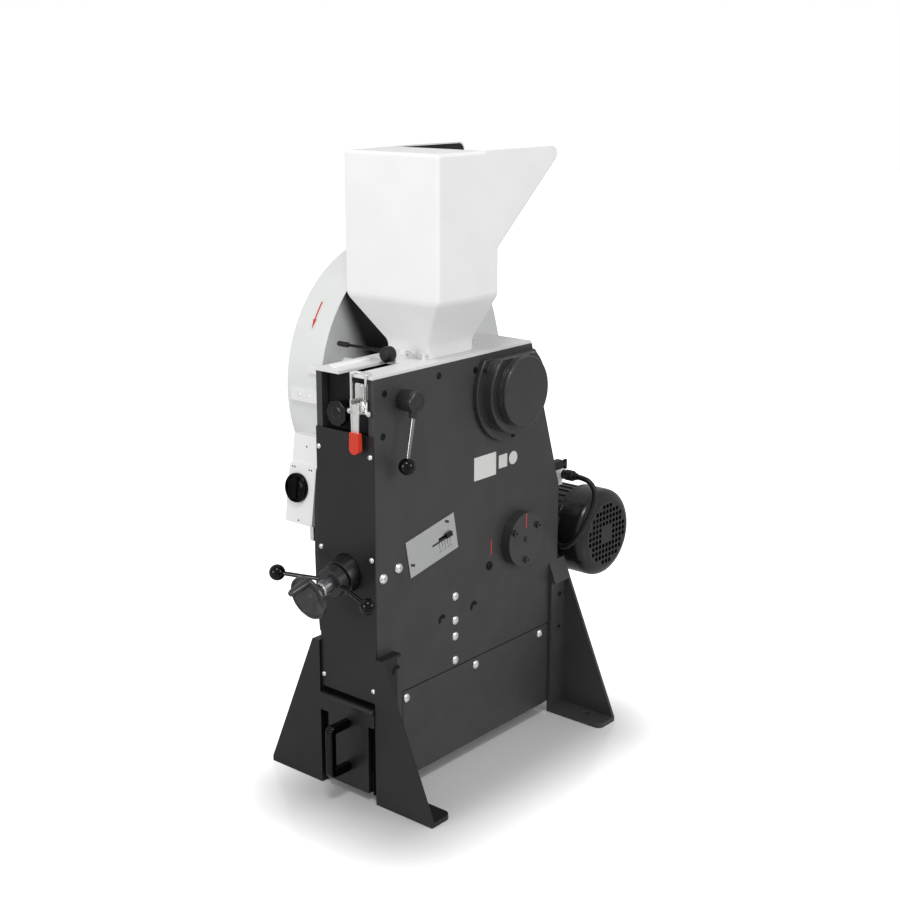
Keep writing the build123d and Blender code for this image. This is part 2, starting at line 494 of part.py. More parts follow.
# ---------------------------------------------------------------- bearings
housing = rod_x(HOUSING_R, XO, XO + HOUSING_T, SHAFT_Y, SHAFT_Z)
housing -= block(XO, XO + HOUSING_T, SHAFT_Y - HOUSING_R, SHAFT_Y + HOUSING_R, HOUSING_FLAT_Z,
                 SHAFT_Z + HOUSING_R)
stepped = rod_x(STEP_R, XO + HOUSING_T, XO + HOUSING_T + STEP_L, SHAFT_Y, SHAFT_Z)
stepped = chamfer(stepped.edges().sort_by(Axis.X)[-1], 2)
stepped -= block(XO, XO + HOUSING_T + STEP_L, SHAFT_Y - STEP_R, SHAFT_Y + STEP_R, HOUSING_FLAT_Z,
                 SHAFT_Z + STEP_R)
housing += stepped + rod_x(SPIGOT_R, XI, XO, SHAFT_Y, SHAFT_Z)
housing -= rod_x(SHAFT_R + RUN, XI, XO + HOUSING_T + STEP_L, SHAFT_Y, SHAFT_Z)
cap_x = XO + HOUSING_T + STEP_L
cap = rod_x(CAP_R, cap_x, cap_x + CAP_L, SHAFT_Y, SHAFT_Z)
cap = fillet(cap.edges().sort_by(Axis.X)[-1], 3)
for x in (cap_x + 4, cap_x + 9):
    cap -= rod_x(CAP_R, x, x + 2, SHAFT_Y, SHAFT_Z) - rod_x(CAP_R - 2, x, x + 2, SHAFT_Y, SHAFT_Z)
save("bearing_housings", housing, mirrored(housing), cap)

# ---------------------------------------------------------------- gap spindle
inner_end, block_front = -SPINDLE_REACH, -8.0
spindle_block = slab([on_spindle(s, 0, u)[1:] for s, u in
                      ((block_front, BLOCK_H / 2), (block_front, -BLOCK_H / 2),
                       (block_front - BLOCK_L, -BLOCK_H / 2), (block_front - BLOCK_L, BLOCK_H / 2))], -XI, XI)
spindle_block += along_spindle(block_front - 4, BOSS_L, BOSS_R)
spindle_block -= block(-XI - 1, XI + 1, FRONT_Y, PLATE_Y0 + SEAM, SPINDLE_Z - 200, SPINDLE_Z + 200) \
    - along_spindle(-60, 60, BOSS_R)
spindle_block -= along_spindle(-160, 60, SPINDLE_R + RUN)
save("spindle_block", spindle_block)

collar_s0 = BOSS_L + GAP
collar_s1 = collar_s0 + COLLAR_L
sleeve_s0 = collar_s1 + GAP
sleeve_s1 = sleeve_s0 + SLEEVE_L
hub_s1 = sleeve_s1 + 18
rim_s = sleeve_s1 + 34
spindle = along_spindle(inner_end, sleeve_s0, SPINDLE_R)
spindle += along_spindle(sleeve_s0, sleeve_s1, SLEEVE_R)
knurl = Plane(origin=on_spindle(sleeve_s0), x_dir=(1, 0, 0), z_dir=(0, -cos(TILT), -sin(TILT))).location
for k in range(12):
    spindle += knurl * Rot(0, 0, 30 * k) * Pos(SLEEVE_R, 0, SLEEVE_L / 2) * Box(2, 3, SLEEVE_L)
spindle += along_spindle(sleeve_s1, hub_s1, WHEEL_HUB_R * 0.6)
save("spindle", spindle)

wheel = along_spindle(sleeve_s1, hub_s1, WHEEL_HUB_R)
wheel += along_spindle(hub_s1 - 4, rim_s, WHEEL_HUB_R, r1=WHEEL_R)
wheel += along_spindle(rim_s, rim_s + WHEEL_T / 2, WHEEL_R)
wheel -= along_spindle(hub_s1, rim_s + WHEEL_T / 2, WHEEL_HUB_R - 3, r1=WHEEL_R - WHEEL_T)
crank_x = CRANK_R * sin(radians(CRANK_ANGLE))
crank_up = CRANK_R * cos(radians(CRANK_ANGLE))
grip_s0 = rim_s + WHEEL_T / 2 + GAP
wheel += along_spindle(rim_s - 10, grip_s0 + CRANK_GRIP_L, STUD_R, crank_x, crank_up)
wheel += along_spindle(grip_s0 + CRANK_GRIP_L + GAP, grip_s0 + CRANK_GRIP_L + 3, STUD_R + 2, crank_x, crank_up)
wheel += along_spindle(grip_s0 + CRANK_GRIP_L, grip_s0 + CRANK_GRIP_L + GAP, STUD_R, crank_x, crank_up)
wheel -= along_spindle(sleeve_s1, hub_s1, WHEEL_HUB_R * 0.6 + FIT)
save("handwheel", wheel)
grip = along_spindle(grip_s0, grip_s0 + CRANK_GRIP_L, CRANK_GRIP_R, crank_x, crank_up, r1=CRANK_GRIP_R - 1.5)
save("crank_grip", grip - along_spindle(grip_s0, grip_s0 + CRANK_GRIP_L, STUD_R + RUN, crank_x, crank_up))

# the nut rides on the spindle inside the arm's pocket and carries the arm with it
nut = along_spindle(NUT_S - NUT_L / 2, NUT_S + NUT_L / 2, POCKET[0] - GAP)
nut -= along_spindle(NUT_S - NUT_L, NUT_S + NUT_L, SPINDLE_R + RUN)
save("spindle_nut", nut)

# two-armed lock lever: a collar with two rods that lean forward
lock = along_spindle(collar_s0, collar_s1, COLLAR_R)
lock -= along_spindle(collar_s0, collar_s1, SPINDLE_R + RUN)
collar_s = (collar_s0 + collar_s1) / 2
turn = radians(ARM_TURN)
for side in (-1, 1):
    def arm_at(share):
        """Point on this arm, from the collar's middle out to its ball."""
        r = share * ARM_REACH
        return on_spindle(collar_s + share * ARM_LEAN, side * r * cos(turn), -side * r * sin(turn))
    lock += stick(arm_at(0.2), arm_at(1), ARM_ROD_R)
    lock += Pos(*arm_at(1)) * Rot(0, 0, -90) * Sphere(BALL_R)     # its seam faces forward, away from the rod
save("lock_lever", lock)

# ---------------------------------------------------------------- gap scale
scale = on_scale(0, 0, XO + SCALE_T / 2) * Box(SCALE_T, SCALE_W, SCALE_H)
slot_len = 46.0
scale -= on_scale(POINTER_U - slot_len / 2, POINTER_V - 4, XO + SCALE_T / 2) * Box(SCALE_T, slot_len, 4)
scale -= window
for u, v in ((SCALE_W / 2 - 21, SCALE_H / 2 - 9), (-SCALE_W / 2 + 10, -SCALE_H / 2 + 22)):
    scale -= on_scale(u, v, XO + SCALE_T / 2) * Rot(-30, 0, 0) * Box(SCALE_T, 12, 5)
save("scale_plate", scale)
pointer = on_scale(POINTER_U, POINTER_V, XO + SCALE_T + GAP + 2) * Box(4, 16, 9)
pointer += on_scale(POINTER_U, POINTER_V, (XI - GAP + XO + SCALE_T + GAP + 2) / 2) * Rot(0, 90, 0) * Cylinder(
    STEM_R, SIDE_T + SCALE_T + 2 * GAP + 4)
pointer += on_scale(POINTER_U, POINTER_V, XI - GAP - 3) * Box(6, 20, 14)
save("gap_pointer", pointer)

# ---------------------------------------------------------------- side lever
side_x = XO + GAP + SIDE_HUB_L * 0.8
lean = radians(SIDE_LEAN)
ball_y, ball_z = PIVOT_Y - SIDE_REACH * sin(lean), PIVOT_Z - SIDE_REACH * cos(lean)
hub = rod_x(SIDE_HUB_R, XO + GAP, XO + GAP + SIDE_HUB_L, PIVOT_Y, PIVOT_Z)
hub = fillet(hub.edges().sort_by(Axis.X)[-1], 2.5)
hub += stick((side_x, PIVOT_Y - 12 * sin(lean), PIVOT_Z - 12 * cos(lean)), (side_x, ball_y, ball_z), 5, 3.5)
save("side_lever", hub + Pos(side_x, ball_y, ball_z) * Sphere(SIDE_BALL_R))

# ---------------------------------------------------------------- toggle clamp
base_y = PANEL_Y - CLAMP_T
clamp = block(CLAMP_X - CLAMP_W / 2, CLAMP_X + CLAMP_W / 2, base_y, PANEL_Y, CLAMP_Z - CLAMP_H / 2,
              CLAMP_Z + CLAMP_H / 2)
for side in (-1, 1):
    x = CLAMP_X + side * (EAR_GAP + EAR_T) / 2
    ear = block(x - EAR_T / 2, x + EAR_T / 2, CLAMP_PIN_Y - 6, base_y, CLAMP_PIN_Z - 9, CLAMP_PIN_Z + 9)
    clamp += ear
clamp -= rod_x(CLAMP_PIN_R + RUN, CLAMP_X - CLAMP_W, CLAMP_X + CLAMP_W, CLAMP_PIN_Y, CLAMP_PIN_Z)
save("clamp_base", clamp)

# the handle turns on its pin; the bail's eyes sit below the pin, so that lifting it slackens the bail
BAIL_Y, BAIL_Z = CLAMP_PIN_Y + 2, CLAMP_PIN_Z - BAIL_ARM
handle = block(CLAMP_X - HANDLE_W / 2, CLAMP_X + HANDLE_W / 2, CLAMP_PIN_Y - HANDLE_T - 6, CLAMP_PIN_Y - 6,
               CLAMP_PIN_Z - HANDLE_L, CLAMP_PIN_Z + 2)
pin_half = EAR_GAP / 2 + EAR_T + GAP
handle += rod_x(CLAMP_PIN_R, CLAMP_X - pin_half, CLAMP_X + pin_half, CLAMP_PIN_Y, CLAMP_PIN_Z)
handle += block(CLAMP_X - 7, CLAMP_X + 7, CLAMP_PIN_Y - 7, BAIL_Y + 4, BAIL_Z - 4, CLAMP_PIN_Z + 2)
handle -= rod_x(BAIL_WIRE_R + RUN, CLAMP_X - HANDLE_W, CLAMP_X + HANDLE_W, BAIL_Y, BAIL_Z)
save("clamp_handle", handle)
grip_z1 = CLAMP_PIN_Z - HANDLE_L + 4
grip_y = CLAMP_PIN_Y - 6 - HANDLE_T / 2
red = block(CLAMP_X - GRIP_W / 2, CLAMP_X + GRIP_W / 2, grip_y - GRIP_T / 2, grip_y + GRIP_T / 2,
            grip_z1 - GRIP_L, grip_z1)
red = fillet(red.edges().filter_by(Axis.Y).group_by(Axis.Z)[0], GRIP_W / 2 - 0.5)
red = fillet(red.edges().filter_by(Axis.Z), GRIP_T * 0.3)
red -= block(CLAMP_X - HANDLE_W / 2 - FIT, CLAMP_X + HANDLE_W / 2 + FIT, grip_y - HANDLE_T / 2 - FIT,
             grip_y + HANDLE_T / 2 + FIT, CLAMP_PIN_Z - HANDLE_L - FIT, grip_z1)
save("clamp_grip", red)
# bail: wire loop over the front edge of the top plate, its ends turned in to the handle's eyes
hook_z = TOP_Z + GAP + BAIL_WIRE_R
hook_y = FRONT_Y + 9
front_y = FRONT_Y - GAP - BAIL_WIRE_R - 1
points = [(CLAMP_X - 7.5 + 3, BAIL_Y, BAIL_Z), (CLAMP_X - BAIL_HALF, BAIL_Y, BAIL_Z),
          (CLAMP_X - BAIL_HALF, front_y, BAIL_Z + 20), (CLAMP_X - BAIL_HALF, front_y, hook_z),
          (CLAMP_X - BAIL_HALF, hook_y, hook_z), (CLAMP_X + BAIL_HALF, hook_y, hook_z),
          (CLAMP_X + BAIL_HALF, front_y, hook_z), (CLAMP_X + BAIL_HALF, front_y, BAIL_Z + 20),
          (CLAMP_X + BAIL_HALF, BAIL_Y, BAIL_Z), (CLAMP_X + 7.5 - 3, BAIL_Y, BAIL_Z)]
bail = None
for a, b in zip(points, points[1:]):
    leg = stick(a, b, BAIL_WIRE_R)
    bail = leg if bail is None else bail + leg
for p in points[1:-1]:
    bail += Pos(*p) * Sphere(BAIL_WIRE_R)
save("clamp_bail", bail)

# ---------------------------------------------------------------- knob, top lever, latch pin
knob = rod_y(KNOB_R, PANEL_Y - 6 - KNOB_L, PANEL_Y - 6, KNOB_X, KNOB_Z)
knob = fillet(knob.edges().filter_by(GeomType.CIRCLE), 3)
for k in range(6):
    a = radians(60 * k + 30)
    knob -= rod_y(6, PANEL_Y - 6 - KNOB_L, PANEL_Y - 6, KNOB_X + (KNOB_R + 2) * cos(a),
                  KNOB_Z + (KNOB_R + 2) * sin(a))
knob += rod_y(12, PANEL_Y - 8, PANEL_Y - GAP, KNOB_X, KNOB_Z)
knob += rod_y(TOP_ROD_R, PANEL_Y - 1, PANEL_Y + PANEL_T, KNOB_X, KNOB_Z)
save("front_knob", knob)

lever = rod_y(TOP_HUB_R, TOP_HUB_Y0, TOP_HUB_Y1, TOP_HUB_X, TOP_PIN_Z)
lever += rod_y(5, TOP_HUB_Y1, TOP_HUB_Y1 + 12, TOP_HUB_X, TOP_PIN_Z)
mid_y = (TOP_HUB_Y0 + TOP_HUB_Y1) / 2
lever += rod_x(TOP_ROD_R, TOP_HUB_X - TOP_ROD_L, TOP_HUB_X - 5, mid_y, TOP_PIN_Z + 5)
lever += rod_x(TOP_GRIP_R, TOP_HUB_X - TOP_ROD_L - TOP_GRIP_L, TOP_HUB_X - TOP_ROD_L, mid_y, TOP_PIN_Z + 5)
save("top_lever", lever)
save("latch_pin", rod_x(LATCH_R, LATCH_X0 - 8, LATCH_X1 + 3, LATCH_Y, LATCH_Z)
     + rod_x(LATCH_R + 2, LATCH_X0 - 12, LATCH_X0 - 8, LATCH_Y, LATCH_Z))


# ---------------------------------------------------------------- hopper
def hopper_body(t, neck_z0, lid_z, end_y=TIP_Y):
    """Outer form of the hopper, drawn in by t on every side; lid_z is its upper face, end_y the chute's end."""
    x0, x1, y0, y1 = HOP_X - HOP_HALF + t, HOP_X + HOP_HALF - t, HOP_Y0 + t, HOP_Y1 - t
    neck = (HOP_X - NECK_HALF + t, HOP_X + NECK_HALF - t, NECK_Y0 + t, NECK_Y1 - t)
    slant = (TIP_Z - CHUTE_Z) / (TIP_Y - HOP_Y1)
    body = block(*neck, neck_z0, NECK_TOP_Z)
    body += frustum((*neck, NECK_TOP_Z), (x0, x1, y0, y1, BOX_Z))
    rise = t * hypot(1, slant)          # the chute floor moves square to itself
    knee = CHUTE_Z - t * slant + rise
    tip = TIP_Z + (end_y - TIP_Y) * slant + rise
    body += slab([(y0, BOX_Z), (y1, BOX_Z), (y1, knee), (end_y, tip), (end_y, lid_z), (y0, lid_z)], x0, x1)
    return body


hopper = hopper_body(0, NECK_Z0, HOP_TOP_Z)
tip_edges = [e for e in hopper.edges().filter_by(Axis.X) if e.center().Y > TIP_Y - 1]
hopper = fillet(tip_edges, TIP_ROUND)
hopper -= hopper_body(HOP_T, NECK_Z0, HOP_TOP_Z - HOP_T, TIP_Y + HOP_T)      # the chute's end is open
hopper -= block(HOP_X - HOP_HALF + HOP_T, HOP_X + HOP_HALF - HOP_T, LID_Y, TIP_Y + HOP_T,
                HOP_TOP_Z - 3 * HOP_T, HOP_TOP_Z)
HINGE_Z = TOP_Z + HINGE_R
barrel = rod_x(HINGE_R - SEAM, HOP_X - HINGE_HALF, HOP_X + HINGE_HALF, HINGE_Y, HINGE_Z)
barrel += block(HOP_X - HINGE_HALF, HOP_X + HINGE_HALF, NECK_Y1 - HOP_T, HINGE_Y, HINGE_Z - 4, HINGE_Z + 4)
barrel -= rod_x(HINGE_PIN_R + RUN, HOP_X - HINGE_HALF, HOP_X + HINGE_HALF, HINGE_Y, HINGE_Z)
save("hopper", hopper + barrel)

# lining of the side walls and the chute floor
shell = hopper_body(HOP_T + GAP, NECK_Z0, HOP_TOP_Z - HOP_T - GAP)
core = hopper_body(HOP_T + GAP + LINER_T, NECK_Z0, HOP_TOP_Z, TIP_Y + HOP_T)
above = block(HOP_X - 2 * HOP_HALF, HOP_X + 2 * HOP_HALF, HOP_Y0 + HOP_T + GAP + LINER_T, TIP_Y - 2 * HOP_T,
              BOX_Z + 2 * HOP_T, HOP_TOP_Z)
save("hopper_liner", shell & above - core)

hinge = None
for side in (-1, 1):
    x0, x1 = sorted((HOP_X + side * (HINGE_HALF + GAP), HOP_X + side * (HINGE_HALF + GAP + HINGE_LUG)))
    lug = block(x0, x1, HINGE_Y - HINGE_R, HINGE_Y + HINGE_R + 14, TOP_Z, TOP_Z + 5)
    lug += rod_x(HINGE_R, x0, x1, HINGE_Y, HINGE_Z)
    hinge = lug if hinge is None else hinge + lug
reach = HINGE_HALF + GAP + HINGE_LUG
hinge += rod_x(HINGE_PIN_R, HOP_X - reach, HOP_X + reach, HINGE_Y, HINGE_Z)
save("hopper_hinge", hinge)

# ---------------------------------------------------------------- flywheel, belts, motor
fx0, fx1 = FLY_X - FLY_W / 2, FLY_X + FLY_W / 2
fly = rod_x(FLY_R, fx0, fx1, SHAFT_Y, SHAFT_Z)
for x0, x1 in ((fx0, FLY_X - FLY_WEB / 2), (FLY_X + FLY_WEB / 2, fx1)):
    fly -= rod_x(FLY_R - FLY_RIM, x0, x1, SHAFT_Y, SHAFT_Z) - rod_x(FLY_HUB_R, x0, x1, SHAFT_Y, SHAFT_Z)
fly -= rod_x(SHAFT_R + FIT, fx0, fx1, SHAFT_Y, SHAFT_Z)
pulley = rod_x(PULLEY_R, fx0, fx1, MOTOR_Y, MOTOR_Z)
pulley -= rod_x(MOTOR_SHAFT_R + FIT, fx0, fx1, MOTOR_Y, MOTOR_Z)
belts = []
for x in (FLY_X - BELT_PITCH / 2, FLY_X + BELT_PITCH / 2):
    g0, g1 = x - BELT_W / 2 - GAP, x + BELT_W / 2 + GAP
    fly -= rod_x(FLY_R, g0, g1, SHAFT_Y, SHAFT_Z) - rod_x(FLY_R - BELT_T, g0, g1, SHAFT_Y, SHAFT_Z)
    pulley -= rod_x(PULLEY_R, g0, g1, MOTOR_Y, MOTOR_Z) - rod_x(PULLEY_R - BELT_T, g0, g1, MOTOR_Y, MOTOR_Z)
    ends = (x - BELT_W / 2, x + BELT_W / 2)
    belts.append(loop(FLY_R + GAP, PULLEY_R + GAP, *ends)
                 - loop(FLY_R - BELT_T + GAP, PULLEY_R - BELT_T + GAP, *ends))
save("flywheel", fly)
save("motor_pulley", pulley)
save("v_belts", *belts)

guard = loop(GUARD_R, GUARD_LOW_R, GUARD_X0, GUARD_X1)
guard -= loop(GUARD_R - GUARD_T, GUARD_LOW_R - GUARD_T, GUARD_X0 + GUARD_T, GUARD_X1 - GUARD_T)
guard -= rod_x(SHAFT_R + 8, GUARD_X1 - GUARD_T, GUARD_X1, SHAFT_Y, SHAFT_Z)
guard -= rod_x(MOTOR_SHAFT_R + 8, GUARD_X1 - GUARD_T, GUARD_X1, MOTOR_Y, MOTOR_Z)
save("flywheel_guard", guard)


def rim_y(z, clear=0.0):
    """Front of the guard's rim at height z."""
    return SHAFT_Y - sqrt((GUARD_R + clear) ** 2 - (z - SHAFT_Z) ** 2)


brackets = []
for z, x_end, h in ((SHAFT_Z - STRAP_DROP, GUARD_X0 + STRAP_END0, STRAP_H),
                    (SHAFT_Z + STRAP_RISE, GUARD_X1 - STRAP_END1, STRAP_H * 0.7)):
    y = min(rim_y(z - h / 2), rim_y(z + h / 2)) if abs(z - SHAFT_Z) > h / 2 else rim_y(SHAFT_Z)
    strap = block(x_end, -XO - STRAP_T, y - STRAP_T, y, z - h / 2, z + h / 2)
    strap += block(-XO - STRAP_T, -XO, y - STRAP_T, y + STRAP_LAP, z - h / 2, z + h / 2)
    brackets.append(strap)
for back, rise in ((-0.747, 0.177), (-0.558, -0.283), (0.415, -0.34)):      # spacer tubes between body and guard
    y, z = SHAFT_Y + back * GUARD_R, SHAFT_Z + rise * GUARD_R
    brackets.append(rod_x(SPACER_R, GUARD_X1, -XO, y, z) - rod_x(SPACER_BORE, GUARD_X1, -XO, y, z))


def on_box(x, out, drop):
    """Place on the switch box's face: out in front of it, drop below its upper edge."""
    t = radians(BOX_TILT)
    return Pos(x, BOX_TOP_Y - drop * sin(t) - out * cos(t),
               BOX_TOP_Z - drop * cos(t) + out * sin(t)) * Rot(-BOX_TILT, 0, 0)


box_mid = (BOX_X0 + BOX_X1) / 2
bracket = on_box(box_mid, -BOX_DEPTH, BRACKET_H / 2) * Box(BOX_X1 - BOX_X0, 2 * BOX_DEPTH, BRACKET_H)
bracket -= rod_x(GUARD_R + GAP, GUARD_X0 - 1, -XO, SHAFT_Y, SHAFT_Z)
bracket -= block(BOX_X0 - 1, BOX_X1 + 1, rim_y(SHAFT_Z, 2 * BOX_DEPTH), -XO, SHAFT_Z - 2 * BOX_DEPTH,
                 SHAFT_Z) & rod_x(GUARD_R, BOX_X0 - 1, BOX_X1 + 1, SHAFT_Y, SHAFT_Z)
bracket -= on_box(box_mid, -BOX_DEPTH - SHEET_T, BRACKET_H) * Box(
    BOX_X1 - BOX_X0 - 2 * SHEET_T, 2 * BOX_DEPTH, 2 * BRACKET_H - 2 * SHEET_T)
brackets.append(bracket.solids().sort_by(SortBy.VOLUME)[-1])
save("guard_brackets", *brackets)

box_drop = BRACKET_H + BOX_H / 2
switch_box = on_box(box_mid, 4 - BOX_DEPTH / 2, box_drop) * Box(BOX_X1 - BOX_X0 + 2, BOX_DEPTH + 4, BOX_H)
save("switch_box", switch_box)
low = (Align.CENTER, Align.CENTER, Align.MIN)
dial = on_box(SWITCH_X, 6 + GAP, SWITCH_DROP) * Rot(90, 0, 0) * Cylinder(SWITCH_R, SWITCH_L / 2, align=low)
dial += on_box(SWITCH_X, 6 + GAP, SWITCH_DROP) * Rot(90, 0, 0) * Pos(0, 0, SWITCH_L / 2) * Box(
    SWITCH_R * 0.5, SWITCH_R * 1.8, SWITCH_L / 2, align=low)
save("switch_knob", dial)

hood_mid = (HOOD_Z0 + HOOD_Z1) / 2
hood_out = [(HOOD_Y1, HOOD_Z0), (HOOD_Y1, HOOD_Z1), (HOOD_Y0, HOOD_Z1), (HOOD_Y0 - 0.8 * HOOD_BULGE, hood_mid + 80),
            (HOOD_Y0 - HOOD_BULGE, hood_mid), (HOOD_Y0 - 0.8 * HOOD_BULGE, hood_mid - 80), (HOOD_Y0, HOOD_Z0)]
hood_in = [(HOOD_Y1 - HOOD_T, HOOD_Z0 + HOOD_T), (HOOD_Y1 - HOOD_T, HOOD_Z1 - HOOD_T),
           (HOOD_Y0 + HOOD_T, HOOD_Z1 - HOOD_T), (HOOD_Y0 + HOOD_T, HOOD_Z0 + HOOD_T)]
hood = slab(hood_out, HOOD_X, -XO) - slab(hood_in, HOOD_X + HOOD_T, -XO)
save("left_hood", hood)

motor = rod_x(MOTOR_R, MOTOR_X0, MOTOR_X1, MOTOR_Y, MOTOR_Z)
motor -= rod_x(MOTOR_SHAFT_R + RUN, MOTOR_X0, MOTOR_X1, MOTOR_Y, MOTOR_Z)
save("motor_frame", motor)


def fan_shape(r, end_r, x0, x1, bevel):
    """Round cover with a bevelled end."""
    ring = Polygon((x0, 0), (x0, r), (x1 - bevel, r), (x1, end_r), (x1, 0), align=None)
    return Pos(0, MOTOR_Y, MOTOR_Z) * revolve(ring, Axis.X)


fan_x1 = MOTOR_X1 + FAN_L
fan_cover = fan_shape(FAN_R, FAN_END_R, MOTOR_X1, fan_x1, FAN_BEVEL)
fan_cover -= fan_shape(FAN_R - FAN_COVER_T, FAN_END_R - FAN_COVER_T, MOTOR_X1, fan_x1 - FAN_COVER_T, FAN_BEVEL)
pitch = 12.0
for i in range(-5, 6):
    for j in range(-5, 6):
        if 18 < hypot(i * pitch, j * pitch) < FAN_END_R - 9:
            fan_cover -= block(fan_x1 - 2 * FAN_COVER_T, fan_x1 + 1, MOTOR_Y + i * pitch - 4.2,
                               MOTOR_Y + i * pitch + 4.2, MOTOR_Z + j * pitch - 4.2, MOTOR_Z + j * pitch + 4.2)
save("fan_cover", fan_cover)
fan_x0 = MOTOR_X1 + FAN_HUB_X
motor_shaft = rod_x(MOTOR_SHAFT_R, fx0 - SEAM, fan_x0 + FAN_HUB_L, MOTOR_Y, MOTOR_Z)
fan = rod_x(FAN_HUB_R, fan_x0, fan_x0 + FAN_HUB_L, MOTOR_Y, MOTOR_Z)
fan -= rod_x(MOTOR_SHAFT_R + FIT, fan_x0, fan_x0 + FAN_HUB_L, MOTOR_Y, MOTOR_Z)
for k in range(6):
    fan += Pos(fan_x0 + FAN_HUB_L / 2, MOTOR_Y, MOTOR_Z) * Rot(60 * k, 0, 0) * Pos(0, 0, BLADE_R) * Box(
        BLADE_W, BLADE_T, BLADE_H)
save("motor_shaft", motor_shaft, fan)

mount = block(MOUNT_X0, MOUNT_X1, REAR_Y, REAR_Y + MOUNT_T, MOTOR_Z - MOUNT_H / 2, MOTOR_Z + MOUNT_H / 2)
mount += block(MOUNT_X0, MOUNT_X1, REAR_Y + MOUNT_T, MOTOR_Y - MOTOR_R + 20, MOTOR_Z - SADDLE_H / 2,
               MOTOR_Z + SADDLE_H / 2)
mount -= rod_x(MOTOR_R + FIT, MOUNT_X0, MOUNT_X1, MOTOR_Y, MOTOR_Z)
mount += rod_x(9, MOUNT_X1, MOUNT_X1 + GLAND_L, GLAND_Y, GLAND_Z)
save("motor_mount", mount)

# ---------------------------------------------------------------- cable
socket = block(SOCKET_X0 - 4, SOCKET_X0, REAR_Y, SOCKET_Y + SOCKET_R, SOCKET_Z - 26, SOCKET_Z + 8)
socket += block(SOCKET_X0 - 24, SOCKET_X0, REAR_Y, REAR_Y + 4, SOCKET_Z - 26, min(SOCKET_Z + 8, KNEE_Z))
socket += rod_x(SOCKET_R, SOCKET_X0, SOCKET_X1, SOCKET_Y, SOCKET_Z)
save("cable_socket", socket)
plug_x1 = SOCKET_X1 + PLUG_L
plug = rod_x(PLUG_R - 2, SOCKET_X1, SOCKET_X1 + 7, SOCKET_Y, SOCKET_Z)
plug += rod_x(PLUG_R, SOCKET_X1 + 7, plug_x1 - 8, SOCKET_Y, SOCKET_Z)
plug += rod_x(PLUG_R - 3, plug_x1 - 8, plug_x1, SOCKET_Y, SOCKET_Z)
save("cable_plug", plug)

route = [(plug_x1, SOCKET_Y, SOCKET_Z)] + CABLE_POINTS + [(MOUNT_X1 + GLAND_L, GLAND_Y, GLAND_Z)]
radii = []
for a, b, c in zip(route, route[1:], route[2:]):
    before, after = Vector(*b) - Vector(*a), Vector(*c) - Vector(*b)
    turned = radians(before.get_angle(after))
    radii.append(0.45 * min(before.length, after.length) / tan(turned / 2))
path = FilletPolyline(*route, radius=radii)
start = Plane(origin=route[0], z_dir=path % 0)
cable = sweep(start * Circle(CABLE_R), path=path)
save("motor_cable", cable)
print("cable radii", [round(r, 1) for r in radii], "length", round(path.length, 1),
      "volume ratio", round(cable.volume / (path.length * 3.141593 * CABLE_R ** 2), 5))

wing = rod_y(WING_R, WING_Y - WING_BOSS, WING_Y + WING_L, WING_X, WING_Z)
wing += rod_z(WING_R, WING_Z - WING_BAR / 2, WING_Z + WING_BAR / 2, WING_X, WING_Y + WING_L)
save("wing_screw", wing)

# ---------------------------------------------------------------- drawer
floor_z = DRAWER_RAIL_Z + DRAWER_RAIL_T + GAP
d0 = PLATE_Y0 - GAP
tray = block(-DRAWER_HALF, DRAWER_HALF, d0, d0 + DRAWER_LONG, floor_z, LIP_Z0 - 2)
tray -= block(-DRAWER_HALF + DRAWER_T, DRAWER_HALF - DRAWER_T, d0 + DRAWER_T, d0 + DRAWER_LONG - DRAWER_T,
              floor_z + DRAWER_T, LIP_Z0)
save("drawer_box", tray)
panel = block(-XO + 0.5, XO - 0.5, d0 - LIP_T, d0, LIP_Z0, LIP_Z1)
panel = fillet(panel.edges().filter_by(Axis.Y), 5)
panel += block(-DRAWER_HALF, DRAWER_HALF, d0 - LIP_T + 3, d0, floor_z, LIP_Z0 + 6)
save("drawer_front", panel)
bar_y = d0 - LIP_T + 3
bar = FilletPolyline((0, bar_y, HANDLE_Z0), (0, bar_y - HANDLE_REACH, HANDLE_Z0),
                     (0, bar_y - HANDLE_REACH, HANDLE_Z1), (0, bar_y, HANDLE_Z1), radius=HANDLE_BEND)
save("drawer_handle", sweep(Plane(origin=bar @ 0, z_dir=bar % 0) * Circle(HANDLE_BAR_R), path=bar))

# ---------------------------------------------------------------- screws
heads = []
for side in (-1, 1):
    x = side * XO
    if side > 0:                # the left hood covers these on its side
        for z in (342, 294, 262, 236):
            heads.append(head_x(CHUTE_Y, z, x, SMALL_HEAD, side))
        for s in (-59, -19):
            _, y, z = on_spindle(s)
            heads.append(head_x(y, z, x, BIG_HEAD, side))
    for y in (COVER_Y0 + 2 * SMALL_HEAD[0], (COVER_Y0 + COVER_Y1) / 2, COVER_Y1 - 6 * SMALL_HEAD[0]):
        heads.append(head_x(y, SEAM_Z - 14, x, SMALL_HEAD, side))
    for z in (RECESS_Z - HEAD_EDGE, SPINDLE_Z + HEAD_EDGE, LIP_Z1 + HEAD_EDGE):
        heads.append(head_y(side * (XO - SIDE_T / 2), z, FRONT_Y, SMALL_HEAD))
    for y in (-FOOT_Y + FOOT_DEPTH * 0.6, FOOT_Y - FOOT_DEPTH * 0.5):
        for z in (FOOT_TOP_Z - 30, FOOT_TOP_Z - 100):
            heads.append(head_x(y, z, side * (XO + FOOT_FLANGE_T), SMALL_HEAD, side))
    for angle in (-85, -145, -35, 165, 15):
        r = (HOUSING_R + STEP_R) / 2
        y, z = SHAFT_Y + r * cos(radians(angle)), SHAFT_Z + r * sin(radians(angle))
        heads.append(head_x(y, z, side * (XO + HOUSING_T), CAP_HEAD, side))
save("screws", *heads)
print("done")
